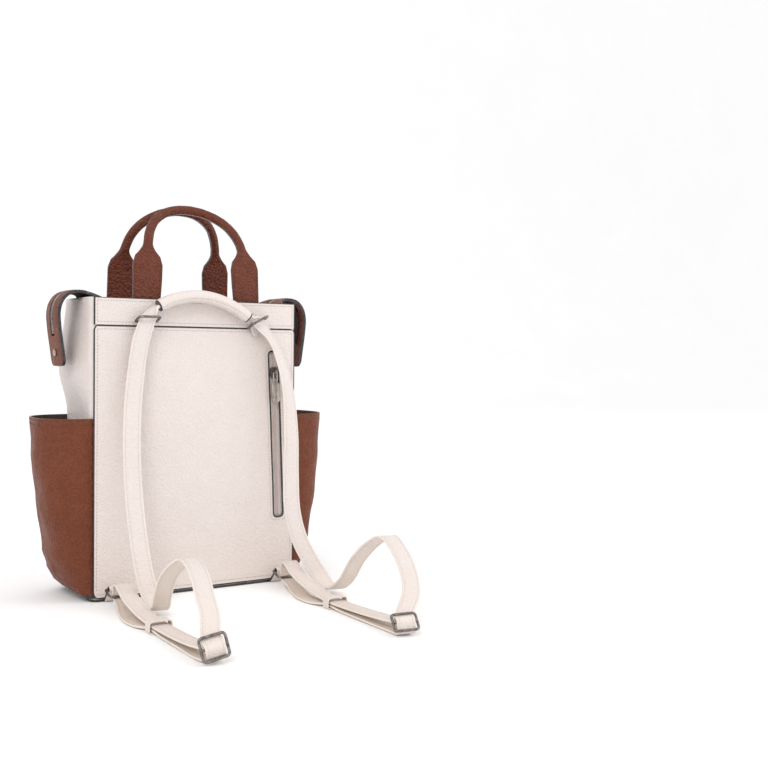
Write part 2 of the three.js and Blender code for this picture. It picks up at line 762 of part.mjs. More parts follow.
// The hanging run of each strap. Across is a share of half the body's width, out of the straps'
// reach, up of the body's height, and turn is where the ribbon's width points, in degrees from X.
const hangingRuns = {
  left: [
    { across: -0.584, out: 0.045, up: 0.873, turn: -8 },
    { across: -0.608, out: 0.045, up: 0.834, turn: -8 },
    { across: -0.68, out: 0.065, up: 0.651, turn: -12 },
    { across: -0.716, out: 0.101, up: 0.47, turn: -18 },
    { across: -0.72, out: 0.151, up: 0.292, turn: -22 },
    { across: -0.704, out: 0.223, up: 0.123, turn: -22 },
    { across: -0.672, out: 0.264, up: 0.045, turn: -18 },
    { across: -0.66, out: 0.309, up: 0.02, turn: -16 },
    { across: -0.672, out: 0.36, up: 0.036, turn: -15 },
    { across: -0.696, out: 0.403, up: 0.078, turn: -15 },
    { across: -0.704, out: 0.468, up: 0.148, turn: -15 },
    { across: -0.672, out: 0.594, up: 0.217, turn: -14 },
    { across: -0.696, out: 0.683, up: 0.216, turn: -13 },
    { across: -0.72, out: 0.763, up: 0.19, turn: -12 },
    { across: -0.76, out: 0.845, up: 0.151, turn: -12 },
    { across: -0.792, out: 0.917, up: 0.114, turn: -12 },
  ],
  right: [
    { across: 0.64, out: 0.043, up: 0.892, turn: -5 },
    { across: 0.71, out: 0.05, up: 0.845, turn: -5 },
    { across: 0.776, out: 0.065, up: 0.753, turn: -8 },
    { across: 0.808, out: 0.076, up: 0.675, turn: -10 },
    { across: 0.828, out: 0.094, up: 0.527, turn: -15 },
    { across: 0.816, out: 0.112, up: 0.392, turn: -20 },
    { across: 0.8, out: 0.144, up: 0.271, turn: -25 },
    { across: 0.832, out: 0.183, up: 0.175, turn: -28 },
    { across: 0.9, out: 0.219, up: 0.105, turn: -26 },
    { across: 0.964, out: 0.255, up: 0.051, turn: -22 },
    { across: 0.988, out: 0.306, up: 0.021, turn: -18 },
    { across: 1, out: 0.36, up: 0.026, turn: -16 },
    { across: 1.024, out: 0.417, up: 0.06, turn: -15 },
    { across: 1.032, out: 0.504, up: 0.145, turn: -16 },
    { across: 1.072, out: 0.594, up: 0.211, turn: -18 },
    { across: 1.088, out: 0.676, up: 0.238, turn: -20 },
    { across: 1.08, out: 0.755, up: 0.208, turn: -22 },
    { across: 1.048, out: 0.842, up: 0.154, turn: -24 },
    { across: 0.976, out: 0.91, up: 0.099, turn: -25 },
  ],
};

// The doubled run on the floor: the lower layer from the buckle to the base ring, then the upper
// layer back. Level counts layers of strap above the floor's own, with the keeper under them.
const floorRuns = {
  left: {
    lower: [
      { across: -0.84, out: 0.93, level: 0.15 },
      { across: -0.845, out: 0.78, level: 0.15 },
      { across: -0.845, out: 0.62, level: 0.2 },
      { across: -0.845, out: 0.565, level: 0.64 },
      { across: -0.85, out: 0.51, level: 0.64 },
      { across: -0.905, out: 0.44, level: 0.15 },
      { across: -0.915, out: 0.35, level: 0.15 },
      { across: -0.865, out: 0.24, level: 0.3 },
      { across: -0.825, out: 0.165, level: 1.6 },
    ],
    upper: [
      { across: -0.816, out: 0.104, level: 7 },
      { across: -0.818, out: 0.115, level: 9 },
      { across: -0.82, out: 0.14, level: 9.8 },
      { across: -0.828, out: 0.185, level: 8.2 },
      { across: -0.84, out: 0.25, level: 6.2 },
      { across: -0.85, out: 0.34, level: 4.4 },
      { across: -0.85, out: 0.43, level: 3 },
      { across: -0.845, out: 0.51, level: 2.2 },
      { across: -0.845, out: 0.565, level: 2.1 },
      { across: -0.845, out: 0.66, level: 2.3 },
      { across: -0.845, out: 0.78, level: 2.8 },
      { across: -0.842, out: 0.9, level: 3.9 },
    ],
  },
  right: {
    lower: [
      { across: 0.76, out: 0.93, level: 0.15 },
      { across: 0.755, out: 0.78, level: 0.15 },
      { across: 0.755, out: 0.62, level: 0.2 },
      { across: 0.755, out: 0.565, level: 0.64 },
      { across: 0.75, out: 0.51, level: 0.64 },
      { across: 0.69, out: 0.44, level: 0.15 },
      { across: 0.685, out: 0.35, level: 0.15 },
      { across: 0.75, out: 0.24, level: 0.3 },
      { across: 0.795, out: 0.165, level: 1.6 },
    ],
    upper: [
      { across: 0.8, out: 0.1, level: 7.4 },
      { across: 0.8, out: 0.104, level: 9.8 },
      { across: 0.797, out: 0.122, level: 11.5 },
      { across: 0.79, out: 0.152, level: 10.8 },
      { across: 0.78, out: 0.2, level: 8.3 },
      { across: 0.77, out: 0.26, level: 6.4 },
      { across: 0.76, out: 0.34, level: 4.6 },
      { across: 0.757, out: 0.43, level: 3.2 },
      { across: 0.755, out: 0.51, level: 2.2 },
      { across: 0.755, out: 0.565, level: 2.1 },
      { across: 0.757, out: 0.66, level: 2.3 },
      { across: 0.76, out: 0.78, level: 2.8 },
      { across: 0.765, out: 0.9, level: 3.6 },
    ],
  },
};

const widthAt = (turn) => vector(Math.cos(radians(turn)), Math.sin(radians(turn)), 0);

function hangingRows(side) {
  return hangingRuns[side].map((row) => ({
    at: vector(row.across * halfWidth, -halfDepth - row.out * strapReach, row.up * bodyHeight),
    width: widthAt(row.turn),
  }));
}

function floorRows(side, layer) {
  return floorRuns[side][layer].map((row) => ({
    at: vector(
      row.across * halfWidth,
      -halfDepth - row.out * strapReach,
      strapRun + row.level * strapThickness,
    ),
    width: vector(1, 0, 0),
  }));
}

// Rows given in a frame of metalwork, where the ribbon's width follows the bar.
function framedRows(frame, points, wide = 1) {
  const width = vector(1, 0, 0).transformDirection(frame);
  return points.map(([y, z]) => ({ at: vector(0, y, z).applyMatrix4(frame), width, wide, square: 0 }));
}

// Behind the buckle's top bar, over the sewn end on its middle bar and behind its bottom bar.
function buckleRows(frame) {
  const over = wireRadius + 2 * clearance + tabLeather + strapThickness / 2 + 0.25;
  const behind = -layerOffset * 1.45;
  const crossing = buckleBarSpacing * 0.57;
  return framedRows(frame, [
    [buckleBarSpacing * 0.9, behind],
    [crossing, 0],
    [0, over],
    [-crossing, 0],
    [-buckleBarSpacing * 0.88, behind],
  ]);
}

// Under the ring's curved bar and up through the ring, where the loose loop of the upper layer starts.
function baseLoopRows(frame) {
  const turns = [95, 135, 180];
  const radius = layerOffset + 0.15;
  const points = turns.map((turn) => {
    const angle = radians(turn);
    return [ringDepth + radius * Math.cos(angle), radius * Math.sin(angle)];
  });
  return framedRows(frame, points, 0.91);
}

// From the end of the grip through the top ring, drawn in and folded where it meets the grip.
function topRows(side) {
  const place = places[side];
  const share = side === "left" ? 0 : 1;
  const end = gripPoint(share);
  const outward = gripPoint(share).sub(gripPoint(share === 0 ? 0.02 : 0.98)).normalize();
  const pass = vector(0, ringDepth * 0.55, 0).applyMatrix4(place.top);
  const middle = end.clone().lerp(pass, 0.55).addScaledVector(outward, gripDiameter * 0.16);
  return [
    { at: end.clone().addScaledVector(outward, clearance), width: widthAt(-place.twist), wide: 0.6, thick: 1.5 },
    { at: end.clone().addScaledVector(outward, 4), width: widthAt(-0.85 * place.twist), wide: 0.64, thick: 1.4 },
    { at: middle, width: widthAt(-0.45 * place.twist), wide: 0.78, thick: 1.2 },
    { at: pass, width: widthAt(-0.1 * place.twist), wide: 0.9, square: 0.5 },
  ];
}

// A ribbon swept through rows, each with its own place, direction of width and shares of size.
function ribbon(rows) {
  const path = new THREE.CatmullRomCurve3(rows.map((row) => row.at), false, "centripetal");
  const last = rows.length - 1;
  const shares = [];
  for (let i = 0; i < last; i++) {
    const length = rows[i].at.distanceTo(rows[i + 1].at);
    const steps = length < 12 ? 2 : THREE.MathUtils.clamp(Math.round(length / 14), 1, 3);
    for (let k = 0; k < steps; k++) shares.push(i + k / steps);
  }
  shares.push(last);
  const rings = shares.map((share) => {
    const low = Math.min(Math.floor(share), last - 1);
    const mix = share - low;
    const [from, to] = [rows[low], rows[low + 1]];
    const size = (name) => THREE.MathUtils.lerp(from[name] ?? 1, to[name] ?? 1, mix);
    const along = path.getTangent(share / last);
    const width = from.width.clone().lerp(to.width, mix);
    width.addScaledVector(along, -along.dot(width) * size("square")).normalize();
    const face = along.clone().cross(width).normalize();
    const [half, thick] = [(size("wide") * strapWidth) / 2, (size("thick") * strapThickness) / 2];
    const bevel = thick * 0.45;
    const section = [
      [-half, 0],
      [-half + bevel, -thick],
      [half - bevel, -thick],
      [half, 0],
      [half - bevel, thick],
      [-half + bevel, thick],
    ];
    const centre = path.getPoint(share / last);
    return section.map(([across, out]) =>
      centre.clone().addScaledVector(width, across).addScaledVector(face, out),
    );
  });
  return loft(rings);
}

const tailTurns = { left: 6, right: 43 };

function makeStrap(side) {
  const { base, buckle } = places[side];
  const turn = radians(tailTurns[side]);
  const tail = (length) => [length * Math.sin(turn), -length * Math.cos(turn)];
  const end = framedRows(buckle, [tail(9), tail(4.4)], 0.92);
  const rows = [
    ...topRows(side),
    ...hangingRows(side),
    ...buckleRows(buckle),
    ...floorRows(side, "lower"),
    ...baseLoopRows(base),
    ...floorRows(side, "upper"),
    ...end,
  ];
  const eye = foldedTab(8, strapWidth * 0.92)
    .rotateX(turn - Math.PI)
    .applyMatrix4(buckle);
  return join(ribbon(rows), eye);
}

addMesh(bag, "strap_left", makeStrap("left"), colours.cream);
addMesh(bag, "strap_right", makeStrap("right"), colours.cream);

// Keepers: a loop of leather round both layers of each strap
function makeKeeper(side) {
  const row = floorRuns[side].lower[3];
  const half = strapWidth / 2 + clearance + 1.2;
  const loopShape = (grow) => {
    const low = keeperThickness - grow;
    const high = keeperThickness + keeperInnerHeight + grow;
    return roundedOutline(half + grow, low, high, 0.8 + grow, 0.8 + grow, 2);
  };
  const outline = new THREE.Shape(loopShape(keeperThickness));
  outline.holes.push(new THREE.Path(loopShape(0)));
  const geometry = new THREE.ExtrudeGeometry(outline, { depth: keeperLength, bevelEnabled: false });
  return geometry
    .translate(0, 0, -keeperLength / 2)
    .rotateX(Math.PI / 2)
    .translate(row.across * halfWidth, -halfDepth - 0.5375 * strapReach, 0.1);
}

addMesh(bag, "keeper_left", makeKeeper("left"), colours.cream);
addMesh(bag, "keeper_right", makeKeeper("right"), colours.cream);

// Back pocket zip: a tape behind the slit, a slider near its top and a pull that hangs from it
const zipTapeTop = plate + clearance;
const chainTop = zipTapeTop - 1.45;
const sliderBack = chainTop - clearance;
const sliderFront = sliderBack - sliderThickness * 0.7;
const pullAxisOut = sliderFront - 1.5;
const sliderUp = pocketZipLength * 0.372;

function makePocketTape() {
  const half = pocketZipWidth / 2 + 1.8;
  const long = pocketZipLength / 2 + 3;
  const bed = slab(roundedOutline(half, -long, long, 3, 3, 2), zipTapeTop, zipTapeTop + tapeThickness);
  const chainLong = pocketZipLength / 2 - 1;
  const chain = slab(roundedOutline(2, -chainLong, chainLong, 0.8, 0.8, 1), chainTop, zipTapeTop + 0.3);
  return join(bed, chain);
}

// An outline in Y and Z, given width along X.
function sideSlab(outline, left, right) {
  return loft([left, right].map((x) => outline.map((p) => vector(x, p.x, p.y))));
}

// Points round a rounded rectangle between two places along Y and two along Z.
function sideOutline(front, back, low, high, radius) {
  const middle = (front + back) / 2;
  return roundedOutline((back - front) / 2, low, high, radius, radius, 2).map(
    (p) => new THREE.Vector2(p.x + middle, p.y),
  );
}

// The slider's block with an arch on its front that the pull's eye passes under.
function makePocketSlider() {
  const ends = [sliderUp - sliderLength / 2, sliderUp + sliderLength / 2];
  const block = slab(roundedOutline(sliderWidth / 2, ends[0], ends[1], 2.6, 3.4, 3), sliderFront, sliderBack);
  const archHalf = bridgeWidth / 2;
  const reach = bridgeLength / 2;
  const outside = sideOutline(sliderFront - bridgeHeight, sliderFront + 0.5, sliderUp - reach, sliderUp + reach, 0.4);
  const hole = sideOutline(
    sliderFront - bridgeHeight + bridgeBar,
    sliderFront,
    sliderUp - reach + bridgeBar,
    sliderUp + reach - bridgeBar,
    0.3,
  );
  const arch = cut(sideSlab(outside, -archHalf, archHalf), sideSlab(hole, -bridgeWidth, bridgeWidth));
  return join(block, arch);
}

// A long plate below an open eye whose top bar is the hinge.
function makePull() {
  const bar = pullThickness / 2;
  const eyeHalf = bridgeWidth / 2 + 0.5;
  const shoulder = sliderUp - pullEyeLength;
  const tip = sliderUp - pullEyeLength - pullPlateLength * 0.8;
  const [front, back] = [pullAxisOut - bar, pullAxisOut + bar];
  const eye = slab(roundedOutline(eyeHalf + 1.5, shoulder - 1, sliderUp + bar, 1, 1.5, 2), front, back);
  const opening = slab(roundedOutline(eyeHalf, sliderUp - pullEyeLength + 2, sliderUp - bar, 1, 0.4, 2), front - 1, back + 1);
  const plateShape = slab(roundedOutline(pullPlateWidth / 2, tip, shoulder, 4.2, 3, 4), front, back);
  return cut(join(eye, plateShape), opening);
}

addMesh(bag, "pocket_zip_tape", makePocketTape().applyMatrix4(zipPlace), colours.tape);
addMesh(bag, "pocket_zip_slider", makePocketSlider().applyMatrix4(zipPlace), colours.gunmetal);
addMesh(bag, "pocket_zip_pull", makePull().applyMatrix4(zipPlace), colours.gunmetal);

export default bag;
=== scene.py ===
# %% [markdown]
# # A convertible backpack in leather
# The bag is a lofted shell of leather, with two pockets, a zip top, two rolled handles and two
# straps. The solids set where each piece goes. This script dresses them: each solid is replaced by
# a finer mesh in the same place, and each surface gets a procedural finish.

import math

import bmesh
import bpy
from mathutils import Matrix, Vector, noise


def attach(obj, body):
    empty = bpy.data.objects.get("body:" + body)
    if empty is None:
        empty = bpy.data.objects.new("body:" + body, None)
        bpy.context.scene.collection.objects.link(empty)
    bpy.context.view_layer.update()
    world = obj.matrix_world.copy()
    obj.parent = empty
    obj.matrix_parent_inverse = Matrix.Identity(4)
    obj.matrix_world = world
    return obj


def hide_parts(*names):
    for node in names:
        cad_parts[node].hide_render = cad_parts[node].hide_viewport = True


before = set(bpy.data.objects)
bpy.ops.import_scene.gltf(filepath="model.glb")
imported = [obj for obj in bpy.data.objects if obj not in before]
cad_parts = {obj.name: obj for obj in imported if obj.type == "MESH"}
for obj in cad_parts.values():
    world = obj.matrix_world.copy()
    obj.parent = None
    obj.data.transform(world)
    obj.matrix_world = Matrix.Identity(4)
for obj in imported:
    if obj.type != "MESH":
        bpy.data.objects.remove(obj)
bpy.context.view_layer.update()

# %% [markdown]
# ## Camera and light
# The bag was photographed from a little left of its back, almost level with its middle. Such a
# camera needs no shift, so the lens, the place and three angles give the whole view. The light is
# a bright soft room: a pale world, one wide lamp above on the left and a weaker one on the right.

# %% Camera
CAMERA_PLACE, CAMERA_LENS = (-0.4990, -1.1982, 0.2785), 50.767
YAW, PITCH, ROLL = (math.radians(angle) for angle in (33.167, 1.807, 0.716))


def shift(x, y, z):
    return Matrix.Translation((x, y, z))


def turned(axis, degrees):
    return Matrix.Rotation(math.radians(degrees), 4, axis)


def axes(x, y, z):
    return Matrix((x, y, z)).transposed().to_4x4()


camera_data = bpy.data.cameras.new("camera")
camera_data.lens = CAMERA_LENS
camera_data.sensor_width = 36
camera_data.clip_end = 60
camera = bpy.data.objects.new("camera", camera_data)
bpy.context.scene.collection.objects.link(camera)
bpy.context.scene.camera = camera
forward = Vector((math.sin(YAW) * math.cos(PITCH), math.cos(YAW) * math.cos(PITCH), -math.sin(PITCH)))
level = Vector((math.cos(YAW), -math.sin(YAW), 0))
upright = level.cross(forward)
view_right = level * math.cos(ROLL) + upright * math.sin(ROLL)
view_up = upright * math.cos(ROLL) - level * math.sin(ROLL)
camera.matrix_world = shift(*CAMERA_PLACE) @ axes(view_right, view_up, -forward)
print("camera at", [round(c, 3) for c in camera.matrix_world.translation])

# %% Lamps and world
def lamp(name, place, target, size, power, tint):
    data = bpy.data.lights.new(name, "AREA")
    data.shape = "DISK"
    data.size = size
    data.energy = power
    data.color = tint
    made = bpy.data.objects.new(name, data)
    aim = (Vector(target) - Vector(place)).to_track_quat("-Z", "Y")
    made.matrix_world = shift(*place) @ aim.to_matrix().to_4x4()
    bpy.context.scene.collection.objects.link(made)


lamp("window lamp", (-1.7, -1.9, 2.3), (0, 0, 0.15), 1.3, 26, (1.0, 0.985, 0.96))
lamp("side lamp", (2.2, -1.2, 1.5), (0, 0, 0.2), 1.8, 16, (0.96, 0.98, 1.0))
world = bpy.data.worlds.new("pale room")
bpy.context.scene.world = world
world.use_nodes = True
sky = world.node_tree.nodes["Background"]
sky.inputs["Color"].default_value = (0.96, 0.95, 0.945, 1)
sky.inputs["Strength"].default_value = 1.1
bpy.context.scene.view_settings.view_transform = "Standard"

# %% [markdown]
# ## Finishes
# Pebbled leather is one effect with several colours, so it is a node group: small rounded cells for
# the pebbles, slow noise for tone, and a painted shade low down where the bag meets the floor. Woven
# tape and worn metal are groups as well. Each group gives a colour, a roughness and a height, and each
# material keeps its own shader and sets the numbers that are the same all over.

# %% Node helpers
def feed(tree, value, socket):
    if isinstance(value, bpy.types.NodeSocket):
        tree.links.new(value, socket)
    else:
        socket.default_value = value


def new_node(tree, kind, **values):
    node = tree.nodes.new(kind)
    for name, value in values.items():
        if name in node.bl_rna.properties.keys():
            setattr(node, name, value)
        else:
            feed(tree, value, node.inputs[name.replace("_", " ")])
    return node


def blend_colour(tree, factor, first, second):
    node = new_node(tree, "ShaderNodeMix", data_type="RGBA")
    for value, index in ((factor, 0), (first, 6), (second, 7)):
        feed(tree, value, node.inputs[index])
    return node.outputs[2]


def figure(tree, operation, first, second):
    node = new_node(tree, "ShaderNodeMath", operation=operation)
    feed(tree, first, node.inputs[0])
    feed(tree, second, node.inputs[1])
    return node.outputs[0]


def remap(tree, value, low, high, to_low, to_high):
    limits = {"From_Min": low, "From_Max": high, "To_Min": to_low, "To_Max": to_high}
    return new_node(tree, "ShaderNodeMapRange", Value=value, **limits).outputs[0]


def grain(tree, place, **values):
    return new_node(tree, "ShaderNodeTexNoise", Vector=place, **values).outputs["Fac"]


def new_group(name, **inputs):
    """A group of effects, what it is given, and the place on the object. Tuples are colours."""
    group = bpy.data.node_groups.new(name, "ShaderNodeTree")
    for label, value in inputs.items():
        kind = "NodeSocketColor" if isinstance(value, tuple) else "NodeSocketFloat"
        item = group.interface.new_socket(name=label.replace("_", " "), in_out="INPUT", socket_type=kind)
        item.default_value = value
    place = group.nodes.new("ShaderNodeTexCoord").outputs["Object"]
    return group, group.nodes.new("NodeGroupInput").outputs, place


def give(group, **results):
    for label in results:
        kind = "NodeSocketColor" if label == "Colour" else "NodeSocketFloat"
        group.interface.new_socket(name=label, in_out="OUTPUT", socket_type=kind)
    end = group.nodes.new("NodeGroupOutput")
    for label, value in results.items():
        feed(group, value, end.inputs[label])
    return group


# %% Pebbled leather group
GREY = (0.5, 0.5, 0.5, 1)  # until a material sets its own colour


def make_pebble_group():
    colours = {"Colour": GREY, "Hollow_Colour": GREY, "Low_Colour": GREY}
    group, given, place = new_group("pebbled leather", **colours, Pebbles=700.0, Depth=1.0)
    shape = {"feature": "SMOOTH_F1", "Smoothness": 0.35, "Randomness": 0.9}
    cells = new_node(group, "ShaderNodeTexVoronoi", Vector=place, Scale=given["Pebbles"], **shape)
    slow = grain(group, place, Scale=11.0, Detail=3.0)
    mottle = grain(group, place, Scale=70.0, Detail=4.0, Roughness=0.6)
    pores = grain(group, place, Scale=2400.0, Detail=2.0)
    hollow = figure(group, "MULTIPLY", cells.outputs["Distance"], given["Depth"])
    slow_part = figure(group, "MULTIPLY", slow, 0.45)
    tone = figure(group, "ADD", slow_part, figure(group, "MULTIPLY", mottle, 0.55))
    tone = remap(group, tone, 0.38, 0.64, 0.0, 0.45)
    mask = figure(group, "ADD", tone, remap(group, hollow, 0.25, 0.6, 0.0, 0.55))
    colour = blend_colour(group, mask, given["Colour"], given["Hollow Colour"])
    # Painted shade near the floor: over the lowest 7 cm the colour turns towards Low Colour.
    above_floor = new_node(group, "ShaderNodeSeparateXYZ", Vector=place).outputs["Z"]
    floor_shade = remap(group, above_floor, 0.0, 0.07, 0.42, 0.0)
    height = figure(group, "SUBTRACT", figure(group, "MULTIPLY", pores, 0.12), hollow)
    return give(
        group,
        Colour=blend_colour(group, floor_shade, colour, given["Low Colour"]),
        Roughness=remap(group, mottle, 0.3, 0.7, 0.42, 0.58),
        Height=figure(group, "ADD", height, figure(group, "MULTIPLY", mottle, 0.8)),
    )


pebble_group = make_pebble_group()

# %% Woven tape and worn metal groups
def make_weave_group():
    group, given, place = new_group("woven tape", Colour=GREY, Gap_Colour=GREY, Threads=260.0)
    bands = []
    for direction in ("X", "Z"):
        shape = {"wave_type": "BANDS", "bands_direction": direction, "Distortion": 0.6}
        wave = new_node(group, "ShaderNodeTexWave", Vector=place, Scale=given["Threads"], **shape)
        bands.append(wave.outputs["Fac"])
    height = figure(group, "MAXIMUM", *bands)
    fuzz = grain(group, place, Scale=900.0, Detail=3.0)
    mask = remap(group, figure(group, "MULTIPLY", height, fuzz), 0.1, 0.6, 0, 1)
    colour = blend_colour(group, mask, given["Gap Colour"], given["Colour"])
    return give(group, Colour=colour, Roughness=remap(group, fuzz, 0.3, 0.7, 0.75, 0.92), Height=height)


def make_wear_group():
    group, given, place = new_group("rubbed surface", Colour=GREY, Rubbed_Colour=GREY, Grain=240.0)
    patches = grain(group, place, Scale=given["Grain"], Detail=5.0, Roughness=0.65)
    scratches = grain(group, place, Scale=3200.0, Detail=2.0)
    mask = remap(group, patches, 0.42, 0.7, 0, 1)
    colour = blend_colour(group, mask, given["Colour"], given["Rubbed Colour"])
    height = figure(group, "ADD", patches, figure(group, "MULTIPLY", scratches, 0.2))
    return give(group, Colour=colour, Roughness=remap(group, patches, 0.3, 0.7, 0.22, 0.4), Height=height)


weave_group = make_weave_group()
wear_group = make_wear_group()

# %% Materials
def finish_from(name, group, values, distance, strength=0.5, metallic=0.0, specular=0.5, coat=0.0):
    made = bpy.data.materials.new(name)
    made.use_nodes = True
    tree = made.node_tree
    shader = tree.nodes["Principled BSDF"]
    effect = tree.nodes.new("ShaderNodeGroup")
    effect.node_tree = group
    for label, value in values.items():
        effect.inputs[label].default_value = (*value, 1) if isinstance(value, tuple) else value
    relief = {"Strength": strength, "Distance": distance, "Height": effect.outputs["Height"]}
    bump = new_node(tree, "ShaderNodeBump", **relief)
    feed(tree, effect.outputs["Colour"], shader.inputs["Base Color"])
    feed(tree, effect.outputs["Roughness"], shader.inputs["Roughness"])
    feed(tree, bump.outputs["Normal"], shader.inputs["Normal"])
    shader.inputs["Metallic"].default_value = metallic
    shader.inputs["Specular IOR Level"].default_value = specular
    shader.inputs["Coat Weight"].default_value = coat
    made.diffuse_color = (*values["Colour"], 1)
    return made


def leather(name, colour, hollow, low, pebbles=620.0, depth=1.0, distance=0.0013, **more):
    values = {"Colour": colour, "Hollow Colour": hollow, "Low Colour": low}
    values |= {"Pebbles": pebbles, "Depth": depth}
    return finish_from(name, pebble_group, values, distance, **more)


def rubbed(name, colour, worn, distance, patches=240.0, **more):
    values = {"Colour": colour, "Rubbed Colour": worn, "Grain": patches}
    return finish_from(name, wear_group, values, distance, **more)


def metal(name, colour, worn, patches=240.0):
    return rubbed(name, colour, worn, 0.00004, patches, strength=0.3, metallic=1.0)


def thread(name, colour, worn):
    return rubbed(name, colour, worn, 0.0001, 900.0, specular=0.2)


def woven(name, colour, gap):
    return finish_from(name, weave_group, {"Colour": colour, "Gap Colour": gap}, 0.0003)


# The third colour of each leather is its painted shade near the floor.
cream = leather("cream leather", (0.715, 0.645, 0.615), (0.672, 0.6, 0.57), (0.725, 0.637, 0.555), 400.0)
cream_back = leather(
    "cream leather underside", (0.7, 0.615, 0.56), (0.62, 0.535, 0.475), (0.67, 0.57, 0.48), depth=0.6
)
cream_edge = leather(
    "cream painted edge", (0.78, 0.71, 0.65), (0.69, 0.61, 0.545), (0.73, 0.64, 0.55), depth=0.2
)
brown = leather(
    "brown leather", (0.185, 0.047, 0.018), (0.122, 0.03, 0.012), (0.135, 0.037, 0.017), 400.0,
    distance=0.002, specular=0.24,
)
chestnut = leather(
    "chestnut handle leather", (0.162, 0.036, 0.0135), (0.085, 0.019, 0.008), (0.1, 0.03, 0.015), 350.0,
    distance=0.0038, specular=0.3,
)
# Inner faces of the bag and the pockets: darker than the leather, as painted shade inside.
shaded_lining = leather(
    "dark brown lining", (0.06, 0.032, 0.022), (0.03, 0.016, 0.012), (0.03, 0.016, 0.012), depth=0.5
)
black_edge = rubbed("black painted edge", (0.012, 0.011, 0.012), (0.045, 0.04, 0.04), 0.0002, coat=0.25)
gunmetal = metal("gunmetal", (0.16, 0.142, 0.136), (0.34, 0.308, 0.292))
pull_metal = metal("pull metal", (0.56, 0.53, 0.5), (0.86, 0.83, 0.79), 160.0)
bright_metal = metal("silvery metal", (0.3, 0.278, 0.262), (0.55, 0.515, 0.485))
cream_thread = thread("cream thread", (0.42, 0.33, 0.29), (0.55, 0.45, 0.4))
strap_thread = thread("pale strap thread", (0.57, 0.5, 0.465), (0.66, 0.59, 0.55))
brown_thread = thread("brown thread", (0.09, 0.04, 0.026), (0.16, 0.075, 0.05))
pale_tape = woven("pale zip tape", (0.87, 0.78, 0.765), (0.68, 0.59, 0.575))
dark_tape = woven("dark zip tape", (0.035, 0.026, 0.023), (0.01, 0.008, 0.008))
floor_paint = rubbed(
    "pale floor", (0.93, 0.93, 0.935), (0.945, 0.945, 0.95), 0.00002, 3.0, strength=0.0, specular=0.0
)
print("materials:", len([m for m in bpy.data.materials if m.use_nodes]))

# %% [markdown]
# ## Shaping helpers
# Nearly every piece of this bag is a sheet of leather with a thickness, or a section swept along a
# path. A sheet starts as a flat grid. Each vertex knows its place across and along the sheet, so the
# grid can be laid on any surface, then extruded to the leather's thickness. A sweep is also a grid,
# wrapped on itself and closed at its ends. All sizes are in millimetres until a piece is finished.

# %% Numbers
def mix(a, b, share):
    return a + (b - a) * share


def ease(value, low, high):
    share = min(1.0, max(0.0, (value - low) / (high - low)))
    return share * share * (3 - 2 * share)


def lookup(rows, at):
    if at <= rows[0][0]:
        return rows[0][1]
    for before, after in zip(rows, rows[1:]):
        if at <= after[0]:
            return mix(before[1], after[1], ease(at, before[0], after[0]))
    return rows[-1][1]


def spread(low, high, steps):
    return [mix(low, high, i / steps) for i in range(steps + 1)]


def soft_dents(x, y, z, size, seed=0.0):
    return noise.fractal(Vector((x / size + seed, y / size, z / size)), 0.9, 2.0, 3)


def moved(bm, matrix):
    bmesh.ops.transform(bm, matrix=matrix, verts=bm.verts)
    return bm


def show(bm, name, looks):
    mesh = bpy.data.meshes.new(name)
    bm.to_mesh(mesh)
    bm.free()
    for look in looks:
        mesh.materials.append(look)
    for polygon in mesh.polygons:
        polygon.use_smooth = True
    made = bpy.data.objects.new(name, mesh)
    bpy.context.scene.collection.objects.link(made)
    return made


def finish_piece(bm, name, looks, nodes=(), body="bag", bevel=0.0, segments=2, angle=40):
    """Show the mesh, in metres from here on, hide the parts it stands for and round its sharp edges."""
    bmesh.ops.scale(bm, vec=(0.001, 0.001, 0.001), verts=bm.verts)
    piece = show(bm, name, looks)
    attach(piece, body)
    if nodes:
        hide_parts(*nodes)
    if bevel:
        edges = piece.modifiers.new("rounded edges", "BEVEL")
        edges.width = bevel * 0.001
        edges.segments = segments
        edges.limit_method = "ANGLE"
        edges.angle_limit = math.radians(angle)
    print(f"{name}: {len(piece.data.polygons)} faces")
    return piece


# %% A sheet with thickness
def leather_sheet(us, vs, place, look=None, gap=None, closed=False, rim=1, inside=0):
    """Each vertex goes to place(u, v, side), with side 0 outside and 1 inside. Faces in the gap are cut."""
    bm = bmesh.new()
    bmesh.ops.create_grid(bm, x_segments=len(us) - 1, y_segments=len(vs) - 1, size=0.5)
    u_tag = bm.verts.layers.float.new("across")
    v_tag = bm.verts.layers.float.new("along")
    for vert in bm.verts:
        vert[u_tag] = us[round((vert.co.x + 0.5) * (len(us) - 1))]
        vert[v_tag] = vs[round((vert.co.y + 0.5) * (len(vs) - 1))]
        vert.co = place(vert[u_tag], vert[v_tag], 0)
    unwanted = []
    for face in bm.faces:
        u = sum(vert[u_tag] for vert in face.verts) / 4
        v = sum(vert[v_tag] for vert in face.verts) / 4
        face.material_index = look(u, v) if look else 0
        if gap and gap(u, v):
            unwanted.append(face)
    bmesh.ops.delete(bm, geom=unwanted, context="FACES")
    if closed:
        bmesh.ops.remove_doubles(bm, verts=bm.verts, dist=0.001)
    outside = set(bm.verts)
    bmesh.ops.extrude_face_region(bm, geom=bm.faces[:])
    for vert in bm.verts:
        if vert not in outside:
            vert.co = place(vert[u_tag], vert[v_tag], 1)
    for face in bm.faces:
        count = sum(vert in outside for vert in face.verts)
        if count == 0:
            if inside or face.material_index != rim:
                face.material_index = inside
        elif count < len(face.verts):
            face.material_index = rim
    bmesh.ops.recalc_face_normals(bm, faces=bm.faces)
    return bm


